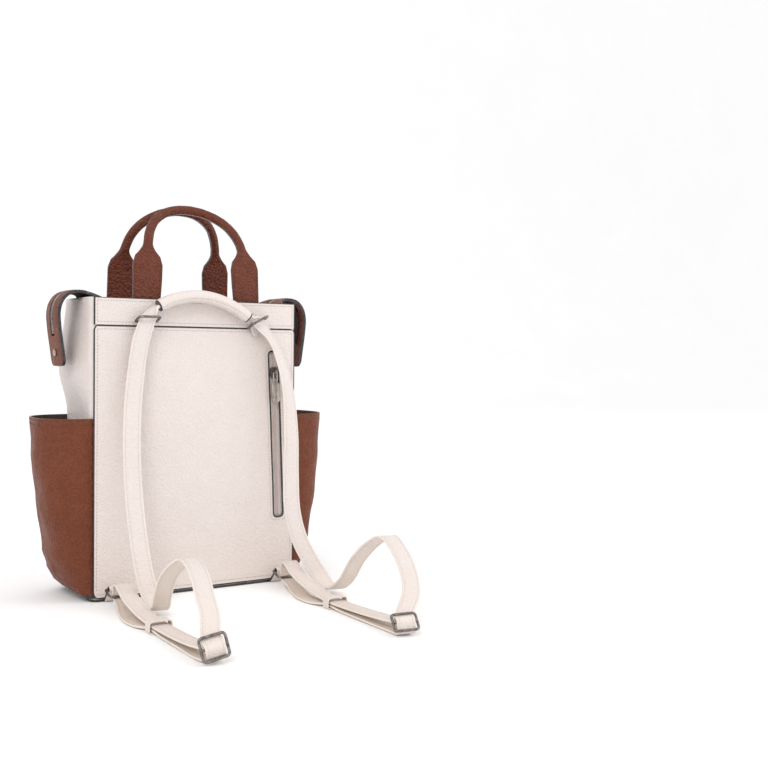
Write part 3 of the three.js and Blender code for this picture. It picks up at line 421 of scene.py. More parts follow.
# %% A swept section
def sweep(rings, look=None, loop=False, caps=0):
    """Each ring of points is a row. look(i, j) gives the finish of side i after ring j."""
    bm = bmesh.new()
    count = len(rings[0])
    rows = rings + rings[:1] if loop else rings
    bmesh.ops.create_grid(bm, x_segments=count, y_segments=len(rows) - 1, size=0.5)
    for face in bm.faces:
        middle = face.calc_center_median()
        i = int((middle.x + 0.5) * count)
        j = int((middle.y + 0.5) * (len(rows) - 1))
        face.material_index = look(i, j) if look else 0
    for vert in bm.verts:
        i = round((vert.co.x + 0.5) * count) % count
        vert.co = rows[round((vert.co.y + 0.5) * (len(rows) - 1))][i]
    bmesh.ops.remove_doubles(bm, verts=bm.verts, dist=0.001)
    if not loop:
        open_edges = [edge for edge in bm.edges if edge.is_boundary]
        filled = bmesh.ops.holes_fill(bm, edges=open_edges, sides=0)
        for face in filled["faces"]:
            face.material_index = caps
    bmesh.ops.recalc_face_normals(bm, faces=bm.faces)
    return bm


def together(*parts):
    whole = bmesh.new()
    for part in parts:
        mesh = bpy.data.meshes.new("part")
        part.to_mesh(mesh)
        part.free()
        whole.from_mesh(mesh)
        bpy.data.meshes.remove(mesh)
    return whole


def rounded_outline(half, y0, y1, r0, r1, steps):
    """A box from y0 to y1 with corners of radius r0 below and r1 above, anticlockwise from below right."""
    low, high = (half - r0, y0 + r0), (half - r1, y1 - r1)
    corners = [(*low, r0, -90), (*high, r1, 0), (-high[0], high[1], r1, 90), (-low[0], low[1], r0, 180)]
    points = []
    for x, y, r, start in corners:
        for i in range(steps + 1):
            angle = math.radians(start + 90 * i / steps)
            points.append(Vector((x + r * math.cos(angle), y + r * math.sin(angle), 0)))
    return points


def sides_of(outline):
    return zip(outline, outline[1:] + outline[:1])


def outward_at(outline, i):
    along = (outline[(i + 1) % len(outline)] - outline[i - 1]).normalized()
    return Vector((along.y, -along.x, 0))


# %% A smooth path through points
def cubic(p0, p1, p2, p3):
    d0, d1, d2 = ((b - a).length ** 0.5 or 1e-3 for a, b in ((p0, p1), (p1, p2), (p2, p3)))
    t1 = ((p1 - p0) / d0 - (p2 - p0) / (d0 + d1) + (p2 - p1) / d1) * d1
    t2 = ((p2 - p1) / d1 - (p3 - p1) / (d1 + d2) + (p3 - p2) / d2) * d1
    c2 = -3 * p1 + 3 * p2 - 2 * t1 - t2
    c3 = 2 * p1 - 2 * p2 + t1 + t2
    return lambda t: (p1 + t1 * t + c2 * t * t + c3 * t**3, t1 + 2 * c2 * t + 3 * c3 * t * t)


def smooth_path(points):
    ends = [2 * points[0] - points[1], *points, 2 * points[-1] - points[-2]]
    pieces_of_path = [cubic(*ends[i : i + 4]) for i in range(len(points) - 1)]

    def at(share):
        low = min(int(share), len(points) - 2)
        point, along = pieces_of_path[low](share - low)
        return point, along.normalized()

    return at


def even_stations(points, gap):
    at = smooth_path(points)
    fine = [at(i / 16) for i in range(16 * (len(points) - 1) + 1)]
    lengths = [0.0]
    for (a, _), (b, _) in zip(fine, fine[1:]):
        lengths.append(lengths[-1] + (b - a).length)
    steps = max(2, round(lengths[-1] / gap))
    stations, k = [], 0
    for i in range(steps + 1):
        wanted = lengths[-1] * i / steps
        while k < len(fine) - 2 and lengths[k + 1] < wanted:
            k += 1
        share = (wanted - lengths[k]) / (lengths[k + 1] - lengths[k])
        point = fine[k][0].lerp(fine[k + 1][0], share)
        along = fine[k][1].lerp(fine[k + 1][1], share).normalized()
        stations.append((point, along))
    return stations, lengths[-1]


# %% Stitches
RUN_OF_STITCHES = 25


def stitches(rows, pitch=3.4, length=2.5, width=0.75, height=0.5):
    """Each row is a list of (point, way out of the surface). One small rounded thread per stitch."""
    runs = [bmesh.new()]
    sewn = 0
    for row in rows:
        travelled, wanted = 0.0, pitch / 2
        for (a, out_a), (b, out_b) in zip(row, row[1:]):
            step = (b - a).length
            while step > 1e-6 and wanted <= travelled + step:
                share = (wanted - travelled) / step
                along = (b - a).normalized()
                out = out_a.lerp(out_b, share).normalized()
                side = out.cross(along).normalized()
                out = along.cross(side)
                lie = axes(along * length / 2, side * width / 2, out * height / 2)
                spot = Matrix.Translation(a.lerp(b, share) + out * height * 0.2) @ lie
                bmesh.ops.create_uvsphere(runs[-1], u_segments=6, v_segments=4, radius=1, matrix=spot)
                wanted += pitch
                sewn += 1
                if sewn % RUN_OF_STITCHES == 0:
                    runs.append(bmesh.new())
            travelled += step
    print("stitches:", sewn)
    return together(*runs)

# %% [markdown]
# ## The body
# The body is cut like a box, but leather never stays one: the sides are drawn in below the rim and
# swell where the zip hangs over them. The sides are one sheet wrapped round, with a floor. Two
# separate panels lap over its margins, and their edges are painted black.

# %% Sizes of the body
HALF_WIDTH, HALF_DEPTH, HEIGHT = 125.0, 50.0, 332.0
FLOOR, BAND_LOW, WALL_FACE, CORNER = 3.35, 302.0, 47.65, 8
PANEL_INSET, PANEL_SKIN = 2.5, 2
PANEL_HALF, BACK_TOP = HALF_WIDTH - PANEL_INSET, BAND_LOW - 0.35
SIDE_SHAPE = [(0, 0.985), (0.04, 1), (0.4, 0.985), (0.61, 0.986), (0.77, 1.066), (1, 1.0)]


def side_share(z):
    return lookup(SIDE_SHAPE, z / HEIGHT)


def side_growth(y, z):
    return 1 + (side_share(z) - 1) * ease(y, -WALL_FACE, 0)


def side_face(y, z):
    past = max(0.0, abs(y) - (WALL_FACE - CORNER))
    return (HALF_WIDTH - CORNER + math.sqrt(max(0.0, CORNER**2 - past**2))) * side_growth(y, z)


# %% Gusset
def gusset_ring(z, inset):
    depth = WALL_FACE - inset
    outline = rounded_outline(HALF_WIDTH - inset, -depth, depth, CORNER - inset, CORNER - inset, 5)
    ring = []
    for p, after in sides_of(outline):
        long_side = (after - p).length > 20
        for k in range(12 if long_side else 1):
            q = p.lerp(after, k / 12)
            beside = ease(abs(q.x), 112, 122)
            wave = soft_dents(q.x, q.y, z * 0.55, 42, 3.0) * 1.1 * beside * ease(z, 8, 60)
            pleat = -0.8 * math.exp(-((abs(q.y) - 13) / 6) ** 2) * beside * ease(z, 195, 240)
            pleat *= 1 - ease(z, 300, 331)
            reach = q.x * side_growth(q.y, z) + math.copysign(wave + pleat, q.x)
            ring.append(Vector((reach, q.y, z)))
    return ring


def in_window(face, facing):
    """The wall behind a panel is cut away, so that only its margins are left."""
    x, y, z = face.calc_center_median()
    return facing * y > WALL_FACE - 2.6 and abs(x) < HALF_WIDTH - 13 and 18 < z < 316


def make_gusset():
    levels = [0, 0.01] + spread(0.03, 0.99, 34) + [1]
    outer = [gusset_ring(mix(FLOOR, HEIGHT, share), 0) for share in levels]
    inner = [gusset_ring(mix(FLOOR + 2, HEIGHT, share), 2) for share in reversed(levels)]
    rim_row = len(outer) - 1
    bm = sweep(outer + inner, lambda i, j: 0 if j < rim_row else 2 if j == rim_row else 1, caps=1)
    for facing in (-1, 1):
        window = [face for face in bm.faces if in_window(face, facing)]
        bmesh.ops.delete(bm, geom=window, context="FACES")
        rims = [edge for edge in bm.edges if edge.is_boundary]
        bmesh.ops.bridge_loops(bm, edges=rims)
    bmesh.ops.recalc_face_normals(bm, faces=bm.faces)
    return bm


# The inner wall is dark brown as painted shade inside the bag.
finish_piece(make_gusset(), "gusset", [cream, shaded_lining, black_edge], ["body_gusset"])

# %% Panels
BACK_RADIUS, BACK_BULGE, FRONT_RADIUS, FRONT_BULGE = 6, 4, 1, 6
SLIT_ACROSS, SLIT_MIDDLE, SLIT_HALF, SLIT_REACH, SLIT_LEAN = 98, 176.5, 6, 98.5, 2.6


def corner_cut(distance, radius):
    if distance >= radius:
        return 0.0
    return radius - math.sqrt(max(0.0, radius**2 - (radius - distance) ** 2))


def panel_swell(facing, x, z, high, bulge, u):
    across = max(0.0, 1 - (x / HALF_WIDTH) ** 2)
    up = min(1, max(0, (z - FLOOR) / (high - FLOOR)))
    belly = bulge * across**1.5 * math.sin(math.pi * up**0.8) ** 1.2
    fade = 1 - min(abs(u), 1.0) ** 6
    return belly + soft_dents(x, facing * 30, z, 85, 7.0) * 0.9 * fade * ease(z, FLOOR, FLOOR + 30)


def slit_shift(z):
    return (SLIT_MIDDLE - z) * math.tan(math.radians(SLIT_LEAN))


def panel_levels(high, top_radius, steps):
    arc = [0, 0.06, 0.2, 0.45, 0.7, 1]
    bottom = [FLOOR + share * CORNER for share in arc]
    top = [high - share * top_radius for share in reversed(arc)]
    return bottom + spread(FLOOR + CORNER, high - top_radius, steps)[1:-1] + top


def panel_point(facing, high, top_radius, bulge, half):
    def place(u, z, side):
        reach = half(z) - corner_cut(z - FLOOR, CORNER) - corner_cut(high - z, top_radius)
        x = reach * u
        if facing < 0 and u > 0.35:
            x += slit_shift(z) * (ease(u, 0.35, 0.74) - ease(u, 0.86, 1.0))
        swell = panel_swell(facing, x, z, high, bulge, u)
        return Vector((x, facing * (HALF_DEPTH + swell - PANEL_SKIN * side), z))

    return place


def edge_look(high):
    return lambda u, z: 1 if abs(u) > 0.99 or z < FLOOR + 1.2 or z > high - 1.4 else 0


slit_left, slit_right = ((SLIT_ACROSS + side * SLIT_HALF) / PANEL_HALF for side in (-1, 1))
slit_low, slit_high = SLIT_MIDDLE - SLIT_REACH, SLIT_MIDDLE + SLIT_REACH
back = leather_sheet(
    [-1, -0.989] + spread(-0.94, 0.64, 26) + [0.7, slit_left, 0.8, slit_right, 0.9, 0.94, 0.989, 1],
    sorted(panel_levels(BACK_TOP, BACK_RADIUS, 30) + [FLOOR + 1.4, BAND_LOW - 1.8, slit_low, slit_high]),
    panel_point(-1, BACK_TOP, BACK_RADIUS, BACK_BULGE, lambda z: PANEL_HALF),
    edge_look(BACK_TOP),
    gap=lambda u, z: slit_left < u < slit_right and slit_low < z < slit_high,
)
finish_piece(back, "panel_back", [cream, black_edge], ["back_panel"], bevel=0.5)
front_point = panel_point(
    1, HEIGHT, FRONT_RADIUS, FRONT_BULGE, lambda z: HALF_WIDTH * side_share(z) - PANEL_INSET
)
front = leather_sheet(
    [-1, -0.989] + spread(-0.94, 0.94, 30) + [0.989, 1],
    sorted(panel_levels(HEIGHT, FRONT_RADIUS, 34) + [FLOOR + 1.4, HEIGHT - 1.4]),
    front_point,
    edge_look(HEIGHT),
)
finish_piece(front, "panel_front", [cream, black_edge], ["front_panel"], bevel=0.5)

# %% Band above the back panel, and the base
BASE_THICK = 3


def band_point(u, z, side):
    sag = 0.35 * math.sin(u * 5) * ease(z, BAND_LOW + 4, HEIGHT) if abs(u) < 0.98 else 0
    return Vector((PANEL_HALF * u, -HALF_DEPTH + PANEL_SKIN * side + sag * 0.5, z))


def base_point(u, v, side):
    reach = HALF_WIDTH - 1.25 - corner_cut(HALF_DEPTH - abs(v * HALF_DEPTH), CORNER)
    return Vector((reach * u, HALF_DEPTH * v, BASE_THICK - BASE_THICK * side))


band = leather_sheet(
    [-1, -0.987] + spread(-0.94, 0.94, 24) + [0.987, 1],
    [BAND_LOW, BAND_LOW + 1] + spread(BAND_LOW + 5, HEIGHT - 5, 6) + [HEIGHT - 0.9, HEIGHT],
    band_point,
    lambda u, z: 1 if abs(u) > 0.985 or z > HEIGHT - 1 else 0,
)
finish_piece(band, "band_back", [cream, black_edge], ["back_band"], bevel=0.4)
edge_rows = [0.84, 0.88, 0.93, 0.97, 0.99, 1]
base_rows = [-v for v in reversed(edge_rows)] + spread(-0.8, 0.8, 8) + edge_rows
base = leather_sheet([-1, -0.985] + spread(-0.9, 0.9, 12) + [0.985, 1], base_rows, base_point)
finish_piece(base, "base_leather", [cream, black_edge], ["base_panel"], bevel=0.8)

# %% [markdown]
# ## Side pockets
# Each pocket is one curved sheet of brown leather, drawn in to the base and open at the top. A
# sheet laid on a curve gives the rim its real thickness, so its inside, dark brown as painted
# shade, shows above it.

# %% Pockets
POCKET_HEIGHT, POCKET_REACH, POCKET_SKIN = 200, 50, 2.2
POCKET_SHAPE = [
    (0.02, 0.04), (0.04, 0.17), (0.085, 0.34), (0.15, 0.5), (0.26, 0.66), (0.54, 0.86), (0.8, 0.96), (1, 1),
]


def pocket_point(side_of_bag):
    half = WALL_FACE - 0.11

    def place(u, up, side):
        skin = POCKET_SKIN * side
        angle = math.pi * (1 - u)
        c = math.cos(angle)
        along = math.copysign(abs(c) ** 0.8, c) * (half - (1 - abs(c)) * skin)
        z = up * POCKET_HEIGHT
        bulge = abs(math.sin(angle)) ** 0.85 * POCKET_REACH * lookup(POCKET_SHAPE, up)
        slack = soft_dents(along * 1.2, z * 0.8, side_of_bag * 9.0, 50, 5.0) * 2.2 - 1.0
        bulge += math.sin(math.pi * u) ** 1.5 * slack
        reach = side_face(along, z) + 0.7 + max(0.0, bulge) + POCKET_SKIN - skin
        return Vector((side_of_bag * reach, along, z))

    return place


def pocket_look(u, up):
    if 0.978 < up < 0.9825:
        return 3
    return 2 if u < 0.004 or u > 0.996 or up < 0.04 else 0


pocket_columns = [0, 0.004, 0.02, 0.05] + spread(0.08, 0.92, 44) + [0.95, 0.98, 0.996, 1]
pocket_levels = [0.02, 0.03, 0.04, 0.06, 0.085, 0.115] + spread(0.15, 0.97, 34)
pocket_levels += [0.978, 0.9825, 0.99, 0.995, 1]
# The inside of each pocket is dark brown as painted shade.
pocket_looks = [brown, shaded_lining, black_edge, brown_thread]
SIDES = (("left", -1), ("right", 1))
for name, side_of_bag in SIDES:
    place = pocket_point(side_of_bag)
    pocket = leather_sheet(pocket_columns, pocket_levels, place, pocket_look, rim=3, inside=1)
    stands_for = [f"side_pocket_{name}"]
    finish_piece(pocket, f"pocket_{name}", pocket_looks, stands_for, bevel=0.7, segments=3)

# %% [markdown]
# ## Zip top
# A brown strip covers the top just below the rim, climbs over both sides and hangs down as two
# rounded tabs. It follows one path, so it is one sheet laid along that path, with the zip's slot
# left open. The tape is a thinner sheet beneath, and the teeth are small bars along the slot.

# %% Path of the zip
ZIP_SHAPE = [
    (0, -0.165), (0.5, -0.165), (0.74, -0.14), (0.86, -0.02), (0.94, 0.075), (1.03, 0.115), (1.13, 0.085),
    (1.2, -0.03), (1.232, -0.2), (1.225, -0.45), (1.2, -0.75), (1.18, -1),
]
TAB_DROP, TAB_HALF, INNER_HALF = 76.0, 22, 45.3
STRIP_SLOT, STRIP_THICK = 5.5, 3.4
right_points = [Vector((a * HALF_WIDTH, 0, HEIGHT + up * TAB_DROP)) for a, up in ZIP_SHAPE]
zip_points = [Vector((-p.x, 0, p.z)) for p in reversed(right_points[1:])] + right_points
zip_stations, zip_length = even_stations(zip_points, 3.0)
print("zip path:", round(zip_length), "mm")


def zip_frame(travelled):
    share = travelled / zip_length * (len(zip_stations) - 1)
    low = min(int(share), len(zip_stations) - 2)
    (a, along_a), (b, along_b) = zip_stations[low], zip_stations[low + 1]
    along = along_a.lerp(along_b, share - low).normalized()
    return a.lerp(b, share - low), along, Vector((-along.z, 0, along.x))


def zip_half(point, from_end):
    spread_out = ease(abs(point.x) / HALF_WIDTH, 0.84, 0.97)
    return mix(INNER_HALF, TAB_HALF, spread_out) - corner_cut(from_end, 9)


def zip_point(depths, slot):
    def place(travelled, v, side):
        point, _, out = zip_frame(travelled)
        half = zip_half(point, min(travelled, zip_length - travelled))
        across = v * slot if abs(v) <= 1 else math.copysign(slot + (abs(v) - 1) * (half - slot), v)
        cup = 0.9 * ease(abs(point.x), 118, 132) * (abs(across) / TAB_HALF) ** 2
        return point - out * (depths[side] + cup) + Vector((0, across, 0))

    return place


def in_slot(travelled, margin=0.0):
    return SLOT_END - margin < travelled < zip_length - SLOT_END + margin


SLOT_END = TAB_DROP * 0.44
end_run = [0, 0.6, 1.4, 3, 5, 7, 9]
strip_run = end_run + [d for d in spread(0, zip_length, 150) if 12 < d < zip_length - 12]
strip_run += [zip_length - d for d in end_run] + [SLOT_END, zip_length - SLOT_END]
strip_run = sorted(set(strip_run))
strip_point = zip_point((0, STRIP_THICK), STRIP_SLOT)
# The underside takes the darker chestnut leather as painted shade beneath the strip.
strip = leather_sheet(
    strip_run,
    [-2, -1.965, -1.7, -1.35, -1.1, -1, 1, 1.1, 1.35, 1.7, 1.965, 2],
    strip_point,
    lambda d, v: 1 if abs(v) > 1.965 or min(d, zip_length - d) < 1 else 0,
    gap=lambda d, v: abs(v) < 1 and in_slot(d),
    inside=2,
)
finish_piece(strip, "zip_leather", [brown, black_edge, chestnut], ["zip_strip"], bevel=0.5)

# %% Top tape, teeth and slider
TOOTH, TOOTH_STEP = (0.85, 3.6, 2.0), 1.3


def zip_teeth():
    bm = bmesh.new()
    travelled, side = SLOT_END + 3, 1
    while travelled < zip_length - SLOT_END - 3:
        point, along, out = zip_frame(travelled)
        spot = Matrix.Translation(point - out * 1.2 + Vector((0, side * 0.9, 0)))
        seat = spot @ axes(along, Vector((0, 1, 0)), out)
        bmesh.ops.create_cube(bm, size=1, matrix=seat @ Matrix.Diagonal((*TOOTH, 1)))
        travelled += TOOTH_STEP
        side = -side
    return bm


tape_run = [d for d in strip_run if in_slot(d, 8)]
tape = leather_sheet(tape_run, [-1, -0.5, 0.5, 1], zip_point((3.75, 4.75), 9.0), rim=0)
top_chain = together(tape, zip_teeth())
for face in top_chain.faces:  # the small faces near the middle are the teeth
    if len(face.verts) == 4 and face.calc_area() < 8 and abs(face.calc_center_median().y) < 3:
        face.material_index = 1
finish_piece(top_chain, "zip_chain_top", [dark_tape, bright_metal], ["top_zip_chain"])
for material_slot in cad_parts["top_zip_slider"].material_slots:
    material_slot.material = gunmetal

# %% Rivets, turned from half an outline
RIVET_OUTLINE = [
    (0, -5), (3, -5), (3.5, -4.4), (3.4, -3.8), (1.7, -3.7), (1.7, 0.1), (4.1, 0.15), (4.2, 0.6),
    (3.7, 1.2), (2.6, 1.6), (1.2, 1.8), (0, 1.85),
]
RIVET_FROM_END = TAB_DROP * 0.2
for name, side_of_bag in SIDES:
    point, _, out = zip_frame(RIVET_FROM_END if side_of_bag < 0 else zip_length - RIVET_FROM_END)
    rivet = bmesh.new()
    outline = [rivet.verts.new((r, 0, z)) for r, z in RIVET_OUTLINE]
    edges = [rivet.edges.new(pair) for pair in zip(outline, outline[1:])]
    whole_turn = {"cent": (0, 0, 0), "axis": (0, 0, 1), "angle": math.tau, "steps": 24, "use_merge": True}
    bmesh.ops.spin(rivet, geom=outline + edges, **whole_turn)
    bmesh.ops.remove_doubles(rivet, verts=rivet.verts, dist=0.001)
    bmesh.ops.recalc_face_normals(rivet, faces=rivet.faces)
    lean = Vector((0, 0, 1)).rotation_difference(out).to_matrix().to_4x4()
    moved(rivet, Matrix.Translation(point + out * 0.2) @ lean)
    finish_piece(rivet, f"rivet_head_{name}", [bright_metal], [f"rivet_{name}"])

# %% [markdown]
# ## Carry handles
# A handle is one strip of chestnut leather: flat and wide where it is sewn inside the rim, then
# drawn in to a neck and rolled round a core. It is swept from a table whose rows turn the section
# from a flat bar into a circle. Its cut edges are painted black, and they meet in the roll's seam.

# %% Handles
HANDLE_REACH, HANDLE_RISE, HANDLE_WIDE, HANDLE_THICK, HANDLE_ROLL = 58, 106, 33, 4, 10.6
HANDLE_SIDES, HANDLE_STEPS = 36, 7
HANDLE_SHAPE = [  # across, up, lean, width, how far rolled
    (1.06, -0.105, 0, 0.97, 0), (1.05, 0, 0, 0.97, 0), (1.03, 0.2, 0.02, 1.02, 0),
    (1.02, 0.36, 0.05, 1.08, 0.05), (1.01, 0.45, 0.09, 0.98, 0.15), (1, 0.52, 0.13, 0.68, 0.5),
    (0.985, 0.58, 0.18, 0.42, 0.9), (0.95, 0.66, 0.28, 0.33, 1), (0.86, 0.77, 0.46, 0.32, 1),
    (0.7, 0.872, 0.68, 0.32, 1), (0.48, 0.946, 0.86, 0.32, 1), (0.24, 0.987, 0.97, 0.32, 1),
    (0, 1, 1, 0.32, 1),
]
# The sides of the section that are painted: fewer of them, the further the strip is rolled.
PAINTED = [(0.4, (34, 35, 0, 1, 16, 17, 18, 19)), (0.8, (35, 0, 16, 17, 18, 19)), (2, (16, 17, 18, 19))]


def handle_frames(facing):
    rows = HANDLE_SHAPE + list(reversed(HANDLE_SHAPE[:-1]))
    points = []
    for i, (across, up, lean, _, _) in enumerate(rows):
        side = -1 if i < len(HANDLE_SHAPE) else 1
        out = facing * mix(INNER_HALF - 2, 9, lean)
        points.append(Vector((side * across * HANDLE_REACH, out, HEIGHT + up * HANDLE_RISE)))
    at = smooth_path(points)
    frames = []
    for i in range((len(rows) - 1) * HANDLE_STEPS + 1):
        share = i / HANDLE_STEPS
        low = min(int(share), len(rows) - 2)
        wide, rolled = (mix(rows[low][k], rows[low + 1][k], share - low) for k in (3, 4))
        point, along = at(share)
        out = (Vector((0, 1, 0)) - along * along.y).normalized()
        frames.append((point, out, along.cross(out), wide, rolled))
    return frames


def handle_ring(point, out, across, wide, rolled):
    half = mix(wide * HANDLE_WIDE, HANDLE_ROLL, rolled) / 2
    thick = mix(HANDLE_THICK, HANDLE_ROLL, rolled) / 2
    power = mix(0.3, 1, rolled)
    ring = []
    for k in range(HANDLE_SIDES):
        angle = math.tau * (k + 0.5) / HANDLE_SIDES
        c, s = math.cos(angle), math.sin(angle)
        seam = 1 - 0.09 * rolled * math.exp(-(((angle - math.pi) / 0.2) ** 2))
        crease = 1 + 0.05 * rolled * soft_dents(point.x, angle * 3, point.z, 9, 2.0)
        hollow = 1 - 0.25 * (1 - rolled) * ease(point.z, 376, 386) * math.exp(-((c / 0.5) ** 2))
        ring.append(
            point
            + across * half * math.copysign(abs(c) ** power, c) * seam * crease
            + out * thick * math.copysign(abs(s) ** power, s) * seam * crease * hollow
        )
    return ring


for name, facing in (("back", -1), ("front", 1)):
    frames = handle_frames(facing)

    def handle_look(i, j, frames=frames):
        rolled = frames[min(j, len(frames) - 1)][-1]
        return 1 if i in next(painted for limit, painted in PAINTED if rolled < limit) else 0

    bm = sweep([handle_ring(*row) for row in frames], handle_look)
    looks = [chestnut, black_edge]
    handle = finish_piece(bm, f"carry_handle_{name}", looks, [f"handle_{name}"])

# %% [markdown]
# ## Rings, buckles and their leather tabs
# The metal parts are bent wire, so each is a round section swept round a closed outline. Each ring
# hangs in a folded tab of leather, which is a sheet laid round the wire and back on itself.

# %% Places of the metal parts
WIRE, BAR, RING_HEIGHT, BUCKLE_HALF, REACH = 1.4, 12.15, 16, 10.5, 278.0
TAB_LEATHER, TAB_WIDTH, TAB_ANGLE = 1.3, 18, 46.0
TAILS = {"top": 10.5, "base": 21.5}
TOP_Y, TOP_Z = -53.4, 306.5
lean_across, lean_up = math.cos(math.radians(TAB_ANGLE)), math.sin(math.radians(TAB_ANGLE))
BASE_Y = -(50.35 + TAB_LEATHER * lean_up) - TAILS["base"] * lean_across
BASE_Z = 0.35 + TAB_LEATHER * lean_across + TAILS["base"] * lean_up


def hung(spot, tilt, roll):
    return shift(*spot) @ turned("Y", -roll) @ turned("X", 180 - tilt)


def buckle_frame(x, y, z, heading, lean, roll):
    return shift(x, y, z) @ turned("Z", heading) @ turned("X", 90 - lean) @ turned("Z", roll)


places = {
    "left": {
        "top_x": -65.66, "roll": 0, "twist": 88, "base_x": -102, "tail": 6,
        "buckle": buckle_frame(-105, -50 - REACH, 15.4, -12, 16, 12),
    },
    "right": {
        "top_x": 69.144, "roll": 28, "twist": 34, "base_x": 99.96, "tail": 43,
        "buckle": buckle_frame(96, -50 - 1.01 * REACH, 12.7, -25, 55, 6),
    },
}
for place in places.values():
    top_spot, base_spot = (place["top_x"], TOP_Y, TOP_Z), (place["base_x"], BASE_Y, BASE_Z)
    place["top"], place["top_tab"] = (hung(top_spot, tilt, place["roll"]) for tilt in (18, 0))
    place["base"], place["base_tab"] = (hung(base_spot, tilt, 0) for tilt in (-20, TAB_ANGLE - 90))


# %% Wire loops
def wire_loop(outline, radius=WIRE, sides=14):
    angles = [math.tau * k / sides for k in range(sides)]
    section = [(Vector((0, 0, radius * math.sin(a))), math.cos(a)) for a in angles]
    rings = []
    for i, p in enumerate(outline):
        outward = outward_at(outline, i) * radius
        rings.append([p + up + outward * across for up, across in section])
    return sweep(rings, loop=True)


def wire_bar(half, sides=14):
    angles = [math.tau * k / sides for k in range(sides)]
    section = [(WIRE * math.cos(a), WIRE * math.sin(a)) for a in angles]
    return sweep([[Vector((x, y, z)) for y, z in section] for x in spread(-half, half, 8)])


for name, place in places.items():
    for end in ("top", "base"):
        ring = moved(wire_loop(rounded_outline(BAR, 0, RING_HEIGHT, 2.5, 4.5, 7)), place[end])
        finish_piece(ring, f"wire_ring_{end}_{name}", [gunmetal], [f"{end}_ring_{name}"])
    frame_wire = wire_loop(rounded_outline(BAR, -BUCKLE_HALF, BUCKLE_HALF, 3.5, 3.5, 7))
    buckle = moved(together(frame_wire, wire_bar(BAR)), place["buckle"])
    finish_piece(buckle, f"wire_buckle_{name}", [gunmetal], [f"buckle_{name}"])


# %% Folded tabs
CROSSWISE = [-1, -0.93, -0.5, 0, 0.5, 0.93, 1]
LAYER_GAP = 0.03


def strip_look(u, v):
    return 1 if abs(v) > 0.95 else 0


def folded_tab(tail, width):
    """Leather round a bar at the origin, its tail along +Z, folded back with its two layers together."""
    middle = WIRE + 0.35 + TAB_LEATHER
    start = math.asin(TAB_LEATHER / middle)
    arc = [(math.cos(a), math.sin(a)) for a in spread(start, math.tau - start, 28)]
    run = [tail - i * (tail - 4) / 6 for i in range(7)]
    count = len(run) * 2 + len(arc)

    def place(u, v, side):
        i = round(u * (count - 1))
        if len(run) <= i < len(run) + len(arc):
            radius = middle - side * TAB_LEATHER
            c, s = arc[i - len(run)]
            height = radius * s
            if c > 0.5:
                height = math.copysign(max(abs(height), LAYER_GAP), height)
            return Vector((radius * c, height, v * width / 2))
        upper = i < len(run)
        height = TAB_LEATHER if side == 0 else LAYER_GAP
        return Vector((run[i if upper else count - 1 - i], height if upper else -height, v * width / 2))

    return moved(leather_sheet(spread(0, 1, count - 1), CROSSWISE, place, strip_look), turned("Y", -90))


for name, place in places.items():
    for end, edge in (("top", cream_edge), ("base", black_edge)):
        tab = moved(folded_tab(TAILS[end], TAB_WIDTH), place[f"{end}_tab"])
        stands_for = [f"{end}_ring_tab_{name}"]
        finish_piece(tab, f"tab_{end}_{name}", [cream, edge], stands_for, bevel=0.25)

# %% [markdown]
# ## Grip
# Between the two top rings the strap is rolled round a soft filling and sewn along its lower side.
# The roll is short and firm, so a swept section with a seam, ends drawn in and creases on the
# inside of its arch gives its shape. Its two cut ends are painted black.

# %% Grip
GRIP_LENGTH, GRIP_RADIUS, GRIP_Y = 110, 7.05, -60.8
GRIP_SEAM, GRIP_SIDES = 4.15, 60


def grip_middle(share):
    up = 318.5 + 10 * (0.5 - share) + 68 * share * (1 - share)
    return Vector((GRIP_LENGTH * (share - 0.491), GRIP_Y, up))


def grip_point(share, angle, lift=0.0):
    along = (grip_middle(share + 0.01) - grip_middle(share - 0.01)).normalized()
    up = Vector((-along.z, 0, along.x))
    seam = -0.75 * math.exp(-(((angle - GRIP_SEAM) / 0.1) ** 2))
    end = min(share, 1 - share)
    drawn = -0.5 * (1 - ease(end, 0.0, 0.05))
    crease = 0.35 * soft_dents(share * GRIP_LENGTH, 0, angle * 2, 7, 4.0)
    crease = crease * max(0.0, -math.cos(angle)) * ease(end, 0.02, 0.1)
    radius = GRIP_RADIUS + seam + drawn + crease + 0.15 * math.sin(math.pi * share) + lift
    return grip_middle(share) + up * radius * math.cos(angle) + Vector((0, radius * math.sin(angle), 0))


grip_rings = []
for share in [0, 0.012, 0.016] + spread(0.02, 0.98, 56) + [0.984, 0.988, 1]:
    grip_rings.append([grip_point(share, math.tau * k / GRIP_SIDES) for k in range(GRIP_SIDES)])
last_row = len(grip_rings) - 2
bm = sweep(grip_rings, lambda i, j: 1 if j < 1 or j >= last_row else 0, caps=1)
grip_looks = [cream, black_edge]
grip = finish_piece(bm, "grip_roll", grip_looks, ["grip"], bevel=0.5, segments=3, angle=50)

# %% [markdown]
# ## Straps
# Each strap is one long ribbon: from the grip through the top ring, down the back, up over a bend,
# through the buckle, along the floor to the base ring, and back to be sewn round the buckle's middle
# bar. Flat straps are modelled directly. The section has rounded painted edges and a pressed line
# beside each edge, where the thread lies. Each row of the tables has the ribbon's place and the
# direction of its width.

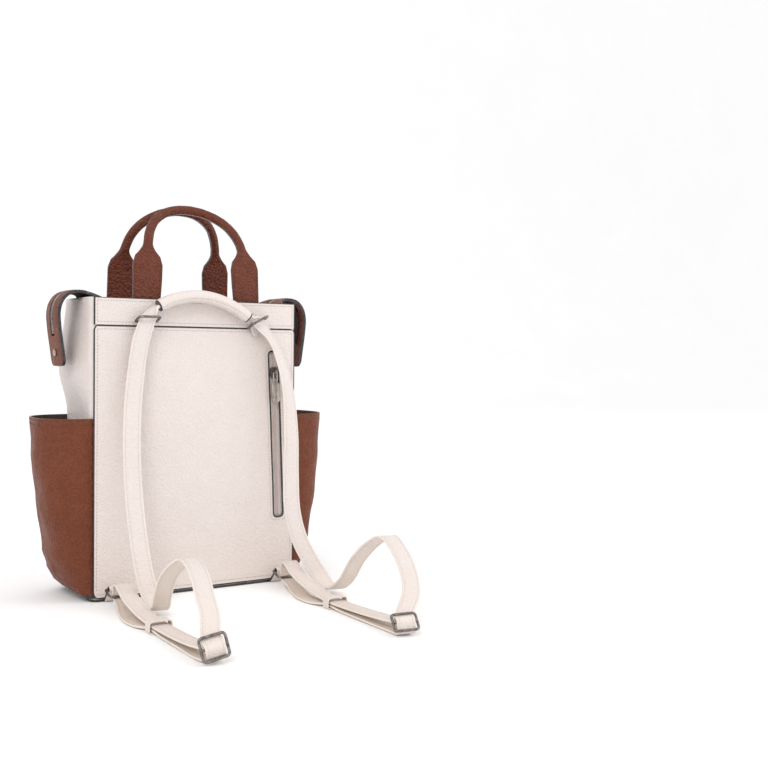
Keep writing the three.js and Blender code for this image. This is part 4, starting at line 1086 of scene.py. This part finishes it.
# %% Strap tables
# Across is in half widths, out in lengths of the reach along the floor, up in heights of the bag.
# A hanging row ends with the turn of its width in degrees, a row on the floor with how many straps
# it lies above the floor.
HANGING = {
    "left": [
        (-0.584, 0.045, 0.873, -8), (-0.608, 0.045, 0.834, -8), (-0.68, 0.065, 0.651, -12),
        (-0.716, 0.101, 0.47, -18), (-0.72, 0.151, 0.292, -22), (-0.704, 0.223, 0.123, -22),
        (-0.672, 0.264, 0.045, -18), (-0.66, 0.309, 0.02, -16), (-0.672, 0.36, 0.036, -15),
        (-0.696, 0.403, 0.078, -15), (-0.704, 0.468, 0.148, -15), (-0.672, 0.594, 0.217, -14),
        (-0.696, 0.683, 0.216, -13), (-0.72, 0.763, 0.19, -12), (-0.76, 0.845, 0.151, -12),
        (-0.792, 0.917, 0.114, -12),
    ],
    "right": [
        (0.64, 0.043, 0.892, 34), (0.72, 0.05, 0.845, 34), (0.796, 0.065, 0.753, 28),
        (0.83, 0.076, 0.675, 18), (0.84, 0.094, 0.527, 0), (0.82, 0.112, 0.392, -14),
        (0.8, 0.144, 0.271, -25), (0.832, 0.183, 0.175, -28), (0.9, 0.219, 0.105, -26),
        (0.964, 0.255, 0.051, -22), (0.988, 0.306, 0.021, -18), (1, 0.36, 0.026, -16),
        (1.024, 0.417, 0.06, -15), (1.032, 0.504, 0.145, -16), (1.072, 0.594, 0.211, -18),
        (1.088, 0.676, 0.238, -20), (1.08, 0.755, 0.208, -22), (1.048, 0.842, 0.154, -24),
        (0.976, 0.91, 0.099, -25),
    ],
}
LOWER = {
    "left": [
        (-0.84, 0.93, 0.15), (-0.845, 0.78, 0.15), (-0.845, 0.62, 0.2), (-0.845, 0.565, 0.64),
        (-0.85, 0.51, 0.64), (-0.905, 0.44, 0.15), (-0.915, 0.35, 0.15), (-0.865, 0.24, 0.3),
        (-0.825, 0.165, 1.6),
    ],
    "right": [
        (0.76, 0.93, 0.15), (0.755, 0.78, 0.15), (0.755, 0.62, 0.2), (0.755, 0.565, 0.64),
        (0.75, 0.51, 0.64), (0.69, 0.44, 0.15), (0.685, 0.35, 0.15), (0.75, 0.24, 0.3), (0.795, 0.165, 1.6),
    ],
}
UPPER = {
    "left": [
        (-0.816, 0.104, 7), (-0.818, 0.115, 9), (-0.82, 0.14, 9.8), (-0.828, 0.185, 8.2),
        (-0.84, 0.25, 6.2), (-0.85, 0.34, 4.4), (-0.85, 0.43, 3), (-0.845, 0.51, 2.2), (-0.845, 0.565, 2.1),
        (-0.845, 0.66, 2.3), (-0.845, 0.78, 2.8), (-0.842, 0.9, 3.9),
    ],
    "right": [
        (0.8, 0.1, 7.4), (0.8, 0.104, 9.8), (0.797, 0.122, 11.5), (0.79, 0.152, 10.8), (0.78, 0.2, 8.3),
        (0.77, 0.26, 6.4), (0.76, 0.34, 4.6), (0.757, 0.43, 3.2), (0.755, 0.51, 2.2), (0.755, 0.565, 2.1),
        (0.757, 0.66, 2.3), (0.76, 0.78, 2.8), (0.765, 0.9, 3.6),
    ],
}
STRAP_WIDTH, STRAP_THICK, STITCH_IN, PRESSED = 19.0, 2.4, 2.7, 0.32


# %% Rows of one strap
def width_at(degrees):
    return Vector((math.cos(math.radians(degrees)), math.sin(math.radians(degrees)), 0))


def framed_rows(metal_frame, points, wide=1.0):
    width = (metal_frame.to_3x3() @ Vector((1, 0, 0))).normalized()
    return [(metal_frame @ Vector((0, y, z)), width, wide, 1.0, 0.0) for y, z in points]


def hanging_rows(side):
    rows = []
    for across, out, up, degrees in HANGING[side]:
        spot = Vector((across * HALF_WIDTH, -HALF_DEPTH - out * REACH, up * HEIGHT))
        rows.append((spot, width_at(degrees), 1.0, 1.0, 1.0))
    return rows


def floor_rows(table):
    rows = []
    for across, out, layers in table:
        spot = Vector((across * HALF_WIDTH, -HALF_DEPTH - out * REACH, 1.55 + layers * STRAP_THICK))
        rows.append((spot, Vector((1, 0, 0)), 1.0, 1.0, 1.0))
    return rows


def top_rows(side):
    place = places[side]
    share, inside = (0, 0.02) if side == "left" else (1, 0.98)
    end = grip_middle(share)
    outward = (end - grip_middle(inside)).normalized()
    threaded = place["top"] @ Vector((0, RING_HEIGHT * 0.55, 0))
    middle = end.lerp(threaded, 0.55) + outward * 2.24
    twist = place["twist"]
    return [
        (end + outward * 0.35, width_at(-twist), 0.6, 1.5, 1.0),
        (end + outward * 4, width_at(-0.85 * twist), 0.64, 1.4, 1.0),
        (middle, width_at(-0.45 * twist), 0.78, 1.2, 1.0),
        (threaded, width_at(-0.1 * twist), 0.9, 1.0, 0.5),
    ]


def strap_rows(side):
    place = places[side]
    layer = WIRE + 0.35 + STRAP_THICK / 2
    behind, crossing = -layer * 1.45, BUCKLE_HALF * 0.57
    over = WIRE + 0.7 + TAB_LEATHER + STRAP_THICK / 2 + 0.25
    buckle = [(BUCKLE_HALF * 0.9, behind), (crossing, 0), (0, over), (-crossing, 0)]
    buckle.append((-BUCKLE_HALF * 0.88, behind))
    radius = layer + 0.15
    angles = [math.radians(degrees) for degrees in (95, 135, 180)]
    loop = [(RING_HEIGHT + radius * math.cos(a), radius * math.sin(a)) for a in angles]
    tail = math.radians(place["tail"])
    end = [(length * math.sin(tail), -length * math.cos(tail)) for length in (9, 4.4)]
    return (
        top_rows(side)
        + hanging_rows(side)
        + framed_rows(place["buckle"], buckle)
        + floor_rows(LOWER[side])
        + framed_rows(place["base"], loop, 0.91)
        + floor_rows(UPPER[side])
        + framed_rows(place["buckle"], end, 0.92)
    )


# %% Ribbon
def ribbon_frames(rows):
    at = smooth_path([row[0] for row in rows])
    frames = []
    for i in range(len(rows) - 1):
        (a, width_a, *sizes_a), (b, width_b, *sizes_b) = rows[i], rows[i + 1]
        steps = max(4, round((b - a).length / 4))
        for k in range(steps + (i == len(rows) - 2)):
            share = k / steps
            point, along = at(i + share)
            wide, thick, square = (mix(p, q, share) for p, q in zip(sizes_a, sizes_b))
            width = width_a.lerp(width_b, share)
            width = (width - along * along.dot(width) * square).normalized()
            face = along.cross(width).normalized()
            frames.append((point, width, face, wide * STRAP_WIDTH / 2, thick * STRAP_THICK / 2))
    return frames


def ribbon_section(half, thick):
    """The right half of the upper side, from the middle to the edge, is mirrored twice."""
    line = half - STITCH_IN
    right = [
        (half * 0.3, thick * 1.03), (line - 0.6, thick), (line, thick - PRESSED), (line + 0.55, thick),
        (half - 0.75, 0.97 * thick), (half - 0.22, 0.62 * thick), (half, 0),
    ]
    upper = [(-across, out) for across, out in reversed(right)] + right
    return upper + [(across, -out) for across, out in reversed(upper[1:-1])]


def ribbon_look(i, j):
    if i in (0, 1, 11, 12, 13, 14, 24, 25):
        return 1
    return 2 if i > 13 else 0


def ribbon(frames):
    rings = []
    for point, width, face, half, thick in frames:
        rings.append([point + width * across + face * out for across, out in ribbon_section(half, thick)])
    return sweep(rings, ribbon_look, caps=1)


strap_looks = [cream, cream_edge, cream_back]
strap_frames = {side: ribbon_frames(strap_rows(side)) for side in places}
for side, frames in strap_frames.items():
    length = sum((b[0] - a[0]).length for a, b in zip(frames, frames[1:]))
    print(f"strap {side}: {length:.0f} mm long")
    eye_place = places[side]["buckle"] @ turned("X", places[side]["tail"] - 180)
    strap = together(ribbon(frames), moved(folded_tab(8, STRAP_WIDTH * 0.92), eye_place))
    finish_piece(strap, f"shoulder_strap_{side}", strap_looks, [f"strap_{side}"])


# %% Keepers
KEEPER_LENGTH, KEEPER_SKIN, KEEPER_OUT = 11.0, 1.3, 0.5375


def keeper(side):
    outlines = []
    for grow in (KEEPER_SKIN, 0.0):
        outlines.append(rounded_outline(11.05 + grow, 1.3 - grow, 10.9 + grow, 0.8 + grow, 2.6 + grow, 5))
    count = len(outlines[0])
    middle = Vector((LOWER[side][3][0] * HALF_WIDTH, -HALF_DEPTH - KEEPER_OUT * REACH, 0.1))

    def place(u, v, skin):
        p = outlines[skin][round(u * count) % count]
        arch = 0.9 * ease(p.y, 5, 10) * (1 - (p.x / 11) ** 2)
        return middle + Vector((p.x, v * KEEPER_LENGTH / 2, p.y + arch * 0.6))

    rows = [-1, -0.93, -0.6, 0, 0.6, 0.93, 1]
    return leather_sheet(spread(0, 1, count), rows, place, strip_look, closed=True, inside=2)


for side in places:
    stands_for = [f"keeper_{side}"]
    finish_piece(keeper(side), f"keeper_loop_{side}", strap_looks, stands_for, bevel=0.3)

# %% [markdown]
# ## Back pocket zip
# The slit leans a little, so every part of the zip is made upright at the origin and turned into
# place by one matrix. The coil is a row of small beads on each side, as it looks from the front.
# The pull is a separate body: it hangs by its eye from the slider's arch and swings on it.

# %% Tape and coil
COIL_BEADS, RUN_OF_BEADS, BEAD_STEP, BEAD_SIZE = 128, 16, 1.52, (1.15, 0.8, 0.58, 1)
zip_place = shift(SLIT_ACROSS, -HALF_DEPTH, SLIT_MIDDLE) @ turned("Y", -SLIT_LEAN)


def tape_point(u, v, side):
    return zip_place @ Vector((7.8 * u, 2.35 + 0.9 * side + 0.15 * abs(u), 101.5 * v))


pocket_tape = leather_sheet(spread(-1, 1, 8), spread(-1, 1, 60), tape_point, rim=0)
coil_runs = []
for i in range(COIL_BEADS):
    if i % RUN_OF_BEADS == 0:
        coil_runs.append(bmesh.new())
    for side in (-1, 1):
        spot = shift(side * 1.0, 1.75, -96.5 + BEAD_STEP * i + 0.35 * side)
        bead = zip_place @ (spot @ turned("Y", side * 18) @ Matrix.Diagonal(BEAD_SIZE))
        bmesh.ops.create_uvsphere(coil_runs[-1], u_segments=8, v_segments=4, radius=1, matrix=bead)
beads = together(*coil_runs)
for face in beads.faces:
    face.material_index = 1
tape_looks = [pale_tape, cream_back]
finish_piece(together(pocket_tape, beads), "pocket_tape", tape_looks, ["pocket_zip_tape"])


# %% Slider and pull
def block(size, y, z, corner):
    bm = bmesh.new()
    bmesh.ops.create_cube(bm, size=1, matrix=shift(0, y, z) @ Matrix.Diagonal((*size, 1)))
    edges = [e for e in bm.edges if abs((e.verts[0].co - e.verts[1].co).normalized().y) > 0.9]
    bmesh.ops.bevel(bm, geom=edges, offset=corner, segments=6, profile=0.5, affect="EDGES", material=-1)
    return bm


SLIDER_UP, BRIDGE_Y, PULL_Y = 73.284, -1.5, -3.89
bridge = wire_loop(rounded_outline(3.0, 0, 4.2, 1.0, 1.0, 4), 0.6, 8)
bmesh.ops.scale(bridge, vec=(1, 1, 1.8), verts=bridge.verts)
bridge = moved(bridge, shift(0, BRIDGE_Y, SLIDER_UP) @ turned("Z", 180) @ turned("Y", 90))
slider = moved(together(block((8.6, 2.94, 14), -0.92, SLIDER_UP, 3.0), bridge), zip_place)
stands_for = ["pocket_zip_slider"]
finish_piece(slider, "pocket_slider", [gunmetal], stands_for, bevel=0.4, segments=3)
eye_ring = moved(wire_loop(rounded_outline(2.35, -10.4, 0, 1.2, 1.4, 5), 0.78, 10), turned("X", 90))
plate, raised = block((9.5, 1.6, 24.8), 0, -23.4, 4.1), block((5.4, 2.0, 17.5), 0, -23.4, 2.6)
pull = moved(together(eye_ring, plate, raised), zip_place @ shift(0, PULL_Y, SLIDER_UP))
stands_for = ["pocket_zip_pull"]
finish_piece(pull, "pocket_pull", [pull_metal], stands_for, body="pull", bevel=0.35, segments=3)


# %% Painted rim of the slit
RIM_SECTION = ((-0.5, -1.2), (-0.6, 0.2), (-0.2, 0.42), (0.8, 0.42), (1.3, 0.2), (1.3, -0.3))


def on_back(x, z, lift=0.0):
    swell = panel_swell(-1, x, z, BACK_TOP, BACK_BULGE, x / PANEL_HALF)
    return Vector((x, -HALF_DEPTH - swell - lift, z))


long_outline = []
for p, after in sides_of(rounded_outline(6.1, -98.6, 98.6, 4.2, 4.2, 6)):
    steps = max(1, round((after - p).length / 8))
    long_outline += [p.lerp(after, k / steps) for k in range(steps)]
rim_rings = []
for i, p in enumerate(long_outline):
    ring = []
    for across, lift in RIM_SECTION:
        q = p + outward_at(long_outline, i) * across
        flat = zip_place @ Vector((q.x, 0, q.y))
        ring.append(on_back(flat.x, flat.z, lift))
    rim_rings.append(ring)
finish_piece(sweep(rim_rings, loop=True), "slit_rim", [black_edge])

# %% [markdown]
# ## Stitching
# The seams are what makes the bag look sewn, so the thread is real geometry: one small rounded
# stitch after another along each seam, lying on the surface it goes through.

# %% Thread on the panels
SEAM_X, SEAM_LOW, SEAM_HIGH = 118.6, 8.4, 297.4
BAND_SEAM_X, BAND_SEAMS = 118.8, (328.6, 305.4)


def line(a, b, steps=40):
    return [(mix(a[0], b[0], i / steps), mix(a[1], b[1], i / steps)) for i in range(steps + 1)]


def back_seam(a, b, steps=40):
    return [(on_back(x, z), Vector((0, -1, 0))) for x, z in line(a, b, steps)]


def band_seam(spots):
    return [(band_point(x / PANEL_HALF, z, 0), Vector((0, -1, 0))) for x, z in spots]


def front_seam(spots):
    return [(front_point(u, z, 0), Vector((0, 1, 0))) for u, z in spots]


panel_seams = [
    back_seam((-SEAM_X, 12), (-SEAM_X, 297)),
    back_seam((-SEAM_X, SEAM_HIGH), (SEAM_X, SEAM_HIGH)),
    back_seam((SEAM_X, 297), (SEAM_X, 12)),
    back_seam((SEAM_X, SEAM_LOW), (-SEAM_X, SEAM_LOW)),
]
slit_frame = []
for p in rounded_outline(10.2, -102.5, 102.5, 6, 6, 5):
    flat = zip_place @ Vector((p.x, 0, p.y))
    slit_frame.append((flat.x, flat.z))
panel_seams.append([spot for a, b in sides_of(slit_frame) for spot in back_seam(a, b, 12)[:-1]])
for z in BAND_SEAMS:
    panel_seams.append(band_seam([(x, z) for x in spread(-119, 119, 40)]))
for x in (-BAND_SEAM_X, BAND_SEAM_X):
    panel_seams.append(band_seam([(x, z) for z in spread(305.4, 328.6, 6)]))
for u in (-0.966, 0.966):
    panel_seams.append(front_seam([(u, z) for z in spread(12, 327, 80)]))
for z in (8.6, 328):
    panel_seams.append(front_seam([(u, z) for u in spread(-0.955, 0.955, 60)]))
finish_piece(stitches(panel_seams), "thread_panels", [cream_thread])

# %% Thread on the pockets, the zip leather and the handles
brown_seams = []


def sheet_seam(place, spots):
    return [(place(u, v, 0), (place(u, v, 0) - place(u, v, 1)).normalized()) for u, v in spots]


for _, side_of_bag in SIDES:
    place = pocket_point(side_of_bag)
    brown_seams.append(sheet_seam(place, [(u, 0.963) for u in spread(0.01, 0.99, 80)]))
    for u in (0.022, 0.978):
        brown_seams.append(sheet_seam(place, [(u, up) for up in spread(0.06, 0.95, 60)]))
for end in (0, 1):
    for sign in (-1, 1):
        row = []
        for d in [2.8, 3.4, 4.4, 6, 8, 10] + spread(13, 110, 40):
            travelled = zip_length - d if end else d
            point, _, out = zip_frame(travelled)
            flat_part = zip_half(point, d) - STRIP_SLOT
            v = 2 - 2.6 / max(flat_part, 3)
            row.append((strip_point(travelled, sign * v, 0), out))
        brown_seams.append(row)
for facing in (-1, 1):
    frames = [row for row in handle_frames(facing) if row[-1] < 0.06 and row[0].z > HEIGHT - 6]
    for edge in (-1, 1):
        for face_side in (-1, 1):
            row = []
            for point, out, across, wide, _ in frames:
                aside = across * edge * (wide * HANDLE_WIDE / 2 - STITCH_IN)
                row.append((point + aside + out * face_side * HANDLE_THICK / 2, out * face_side))
            half_run = len(row) // 2
            brown_seams += [row[:half_run], row[half_run:]]
finish_piece(stitches(brown_seams), "thread_brown", [brown_thread])

# %% Thread on the straps, the grip and the tabs
TAB_SEAM_X, TAB_SEAM_LOW = 6.9, 4.6
strap_seams = []
for frames in strap_frames.values():
    for edge in (-1, 1):
        for side in (-1, 1):
            row = []
            for point, width, face, half, thick in frames:
                spot = point + width * edge * (half - STITCH_IN) + face * side * (thick - PRESSED)
                row.append((spot, face * side))
            strap_seams.append(row)
for angle in (GRIP_SEAM - 0.32, GRIP_SEAM + 0.32):
    row = []
    for share in spread(0.05, 0.95, 40):
        spot = grip_point(share, angle)
        row.append((spot, (grip_point(share, angle, 1) - spot).normalized()))
    strap_seams.append(row)
for place in places.values():
    for seat, layer, reach in ((place["top_tab"], 1, 9.0), (place["base_tab"], -1, 16.0)):
        out = (seat.to_3x3() @ Vector((0, layer, 0))).normalized()
        right = [(TAB_SEAM_X, TAB_SEAM_LOW), (TAB_SEAM_X, reach)]
        corners = [(-x, z) for x, z in reversed(right)] + right
        spots = [spot for a, b in zip(corners, corners[1:]) for spot in line(a, b, 6)[:-1]]
        strap_seams.append([(seat @ Vector((x, layer * TAB_LEATHER, z)), out) for x, z in spots])
finish_piece(stitches(strap_seams, pitch=3.6), "thread_straps", [strap_thread])

# %% [markdown]
# ## The stage
# The floor curves up behind the bag, far away, so no horizon shows. It is made in metres.

# %% Floor
FLOOR_WIDE, FLOOR_LONG, FLOOR_START, FLAT_TO, FLOOR_BEND = 14, 12, -4, 3, 1.5
floor = bmesh.new()
bmesh.ops.create_grid(floor, x_segments=24, y_segments=48, size=0.5)
for vert in floor.verts:
    run = (vert.co.y + 0.5) * FLOOR_LONG + FLOOR_START  # from the near edge, along the curve
    bend = max(0.0, run - FLAT_TO)
    angle = min(bend / FLOOR_BEND, math.pi / 2)
    rise = FLOOR_BEND * (1 - math.cos(angle)) + max(0.0, bend - FLOOR_BEND * math.pi / 2)
    vert.co = Vector((vert.co.x * FLOOR_WIDE, min(run, FLAT_TO) + FLOOR_BEND * math.sin(angle), rise))
show(floor, "floor", [floor_paint])
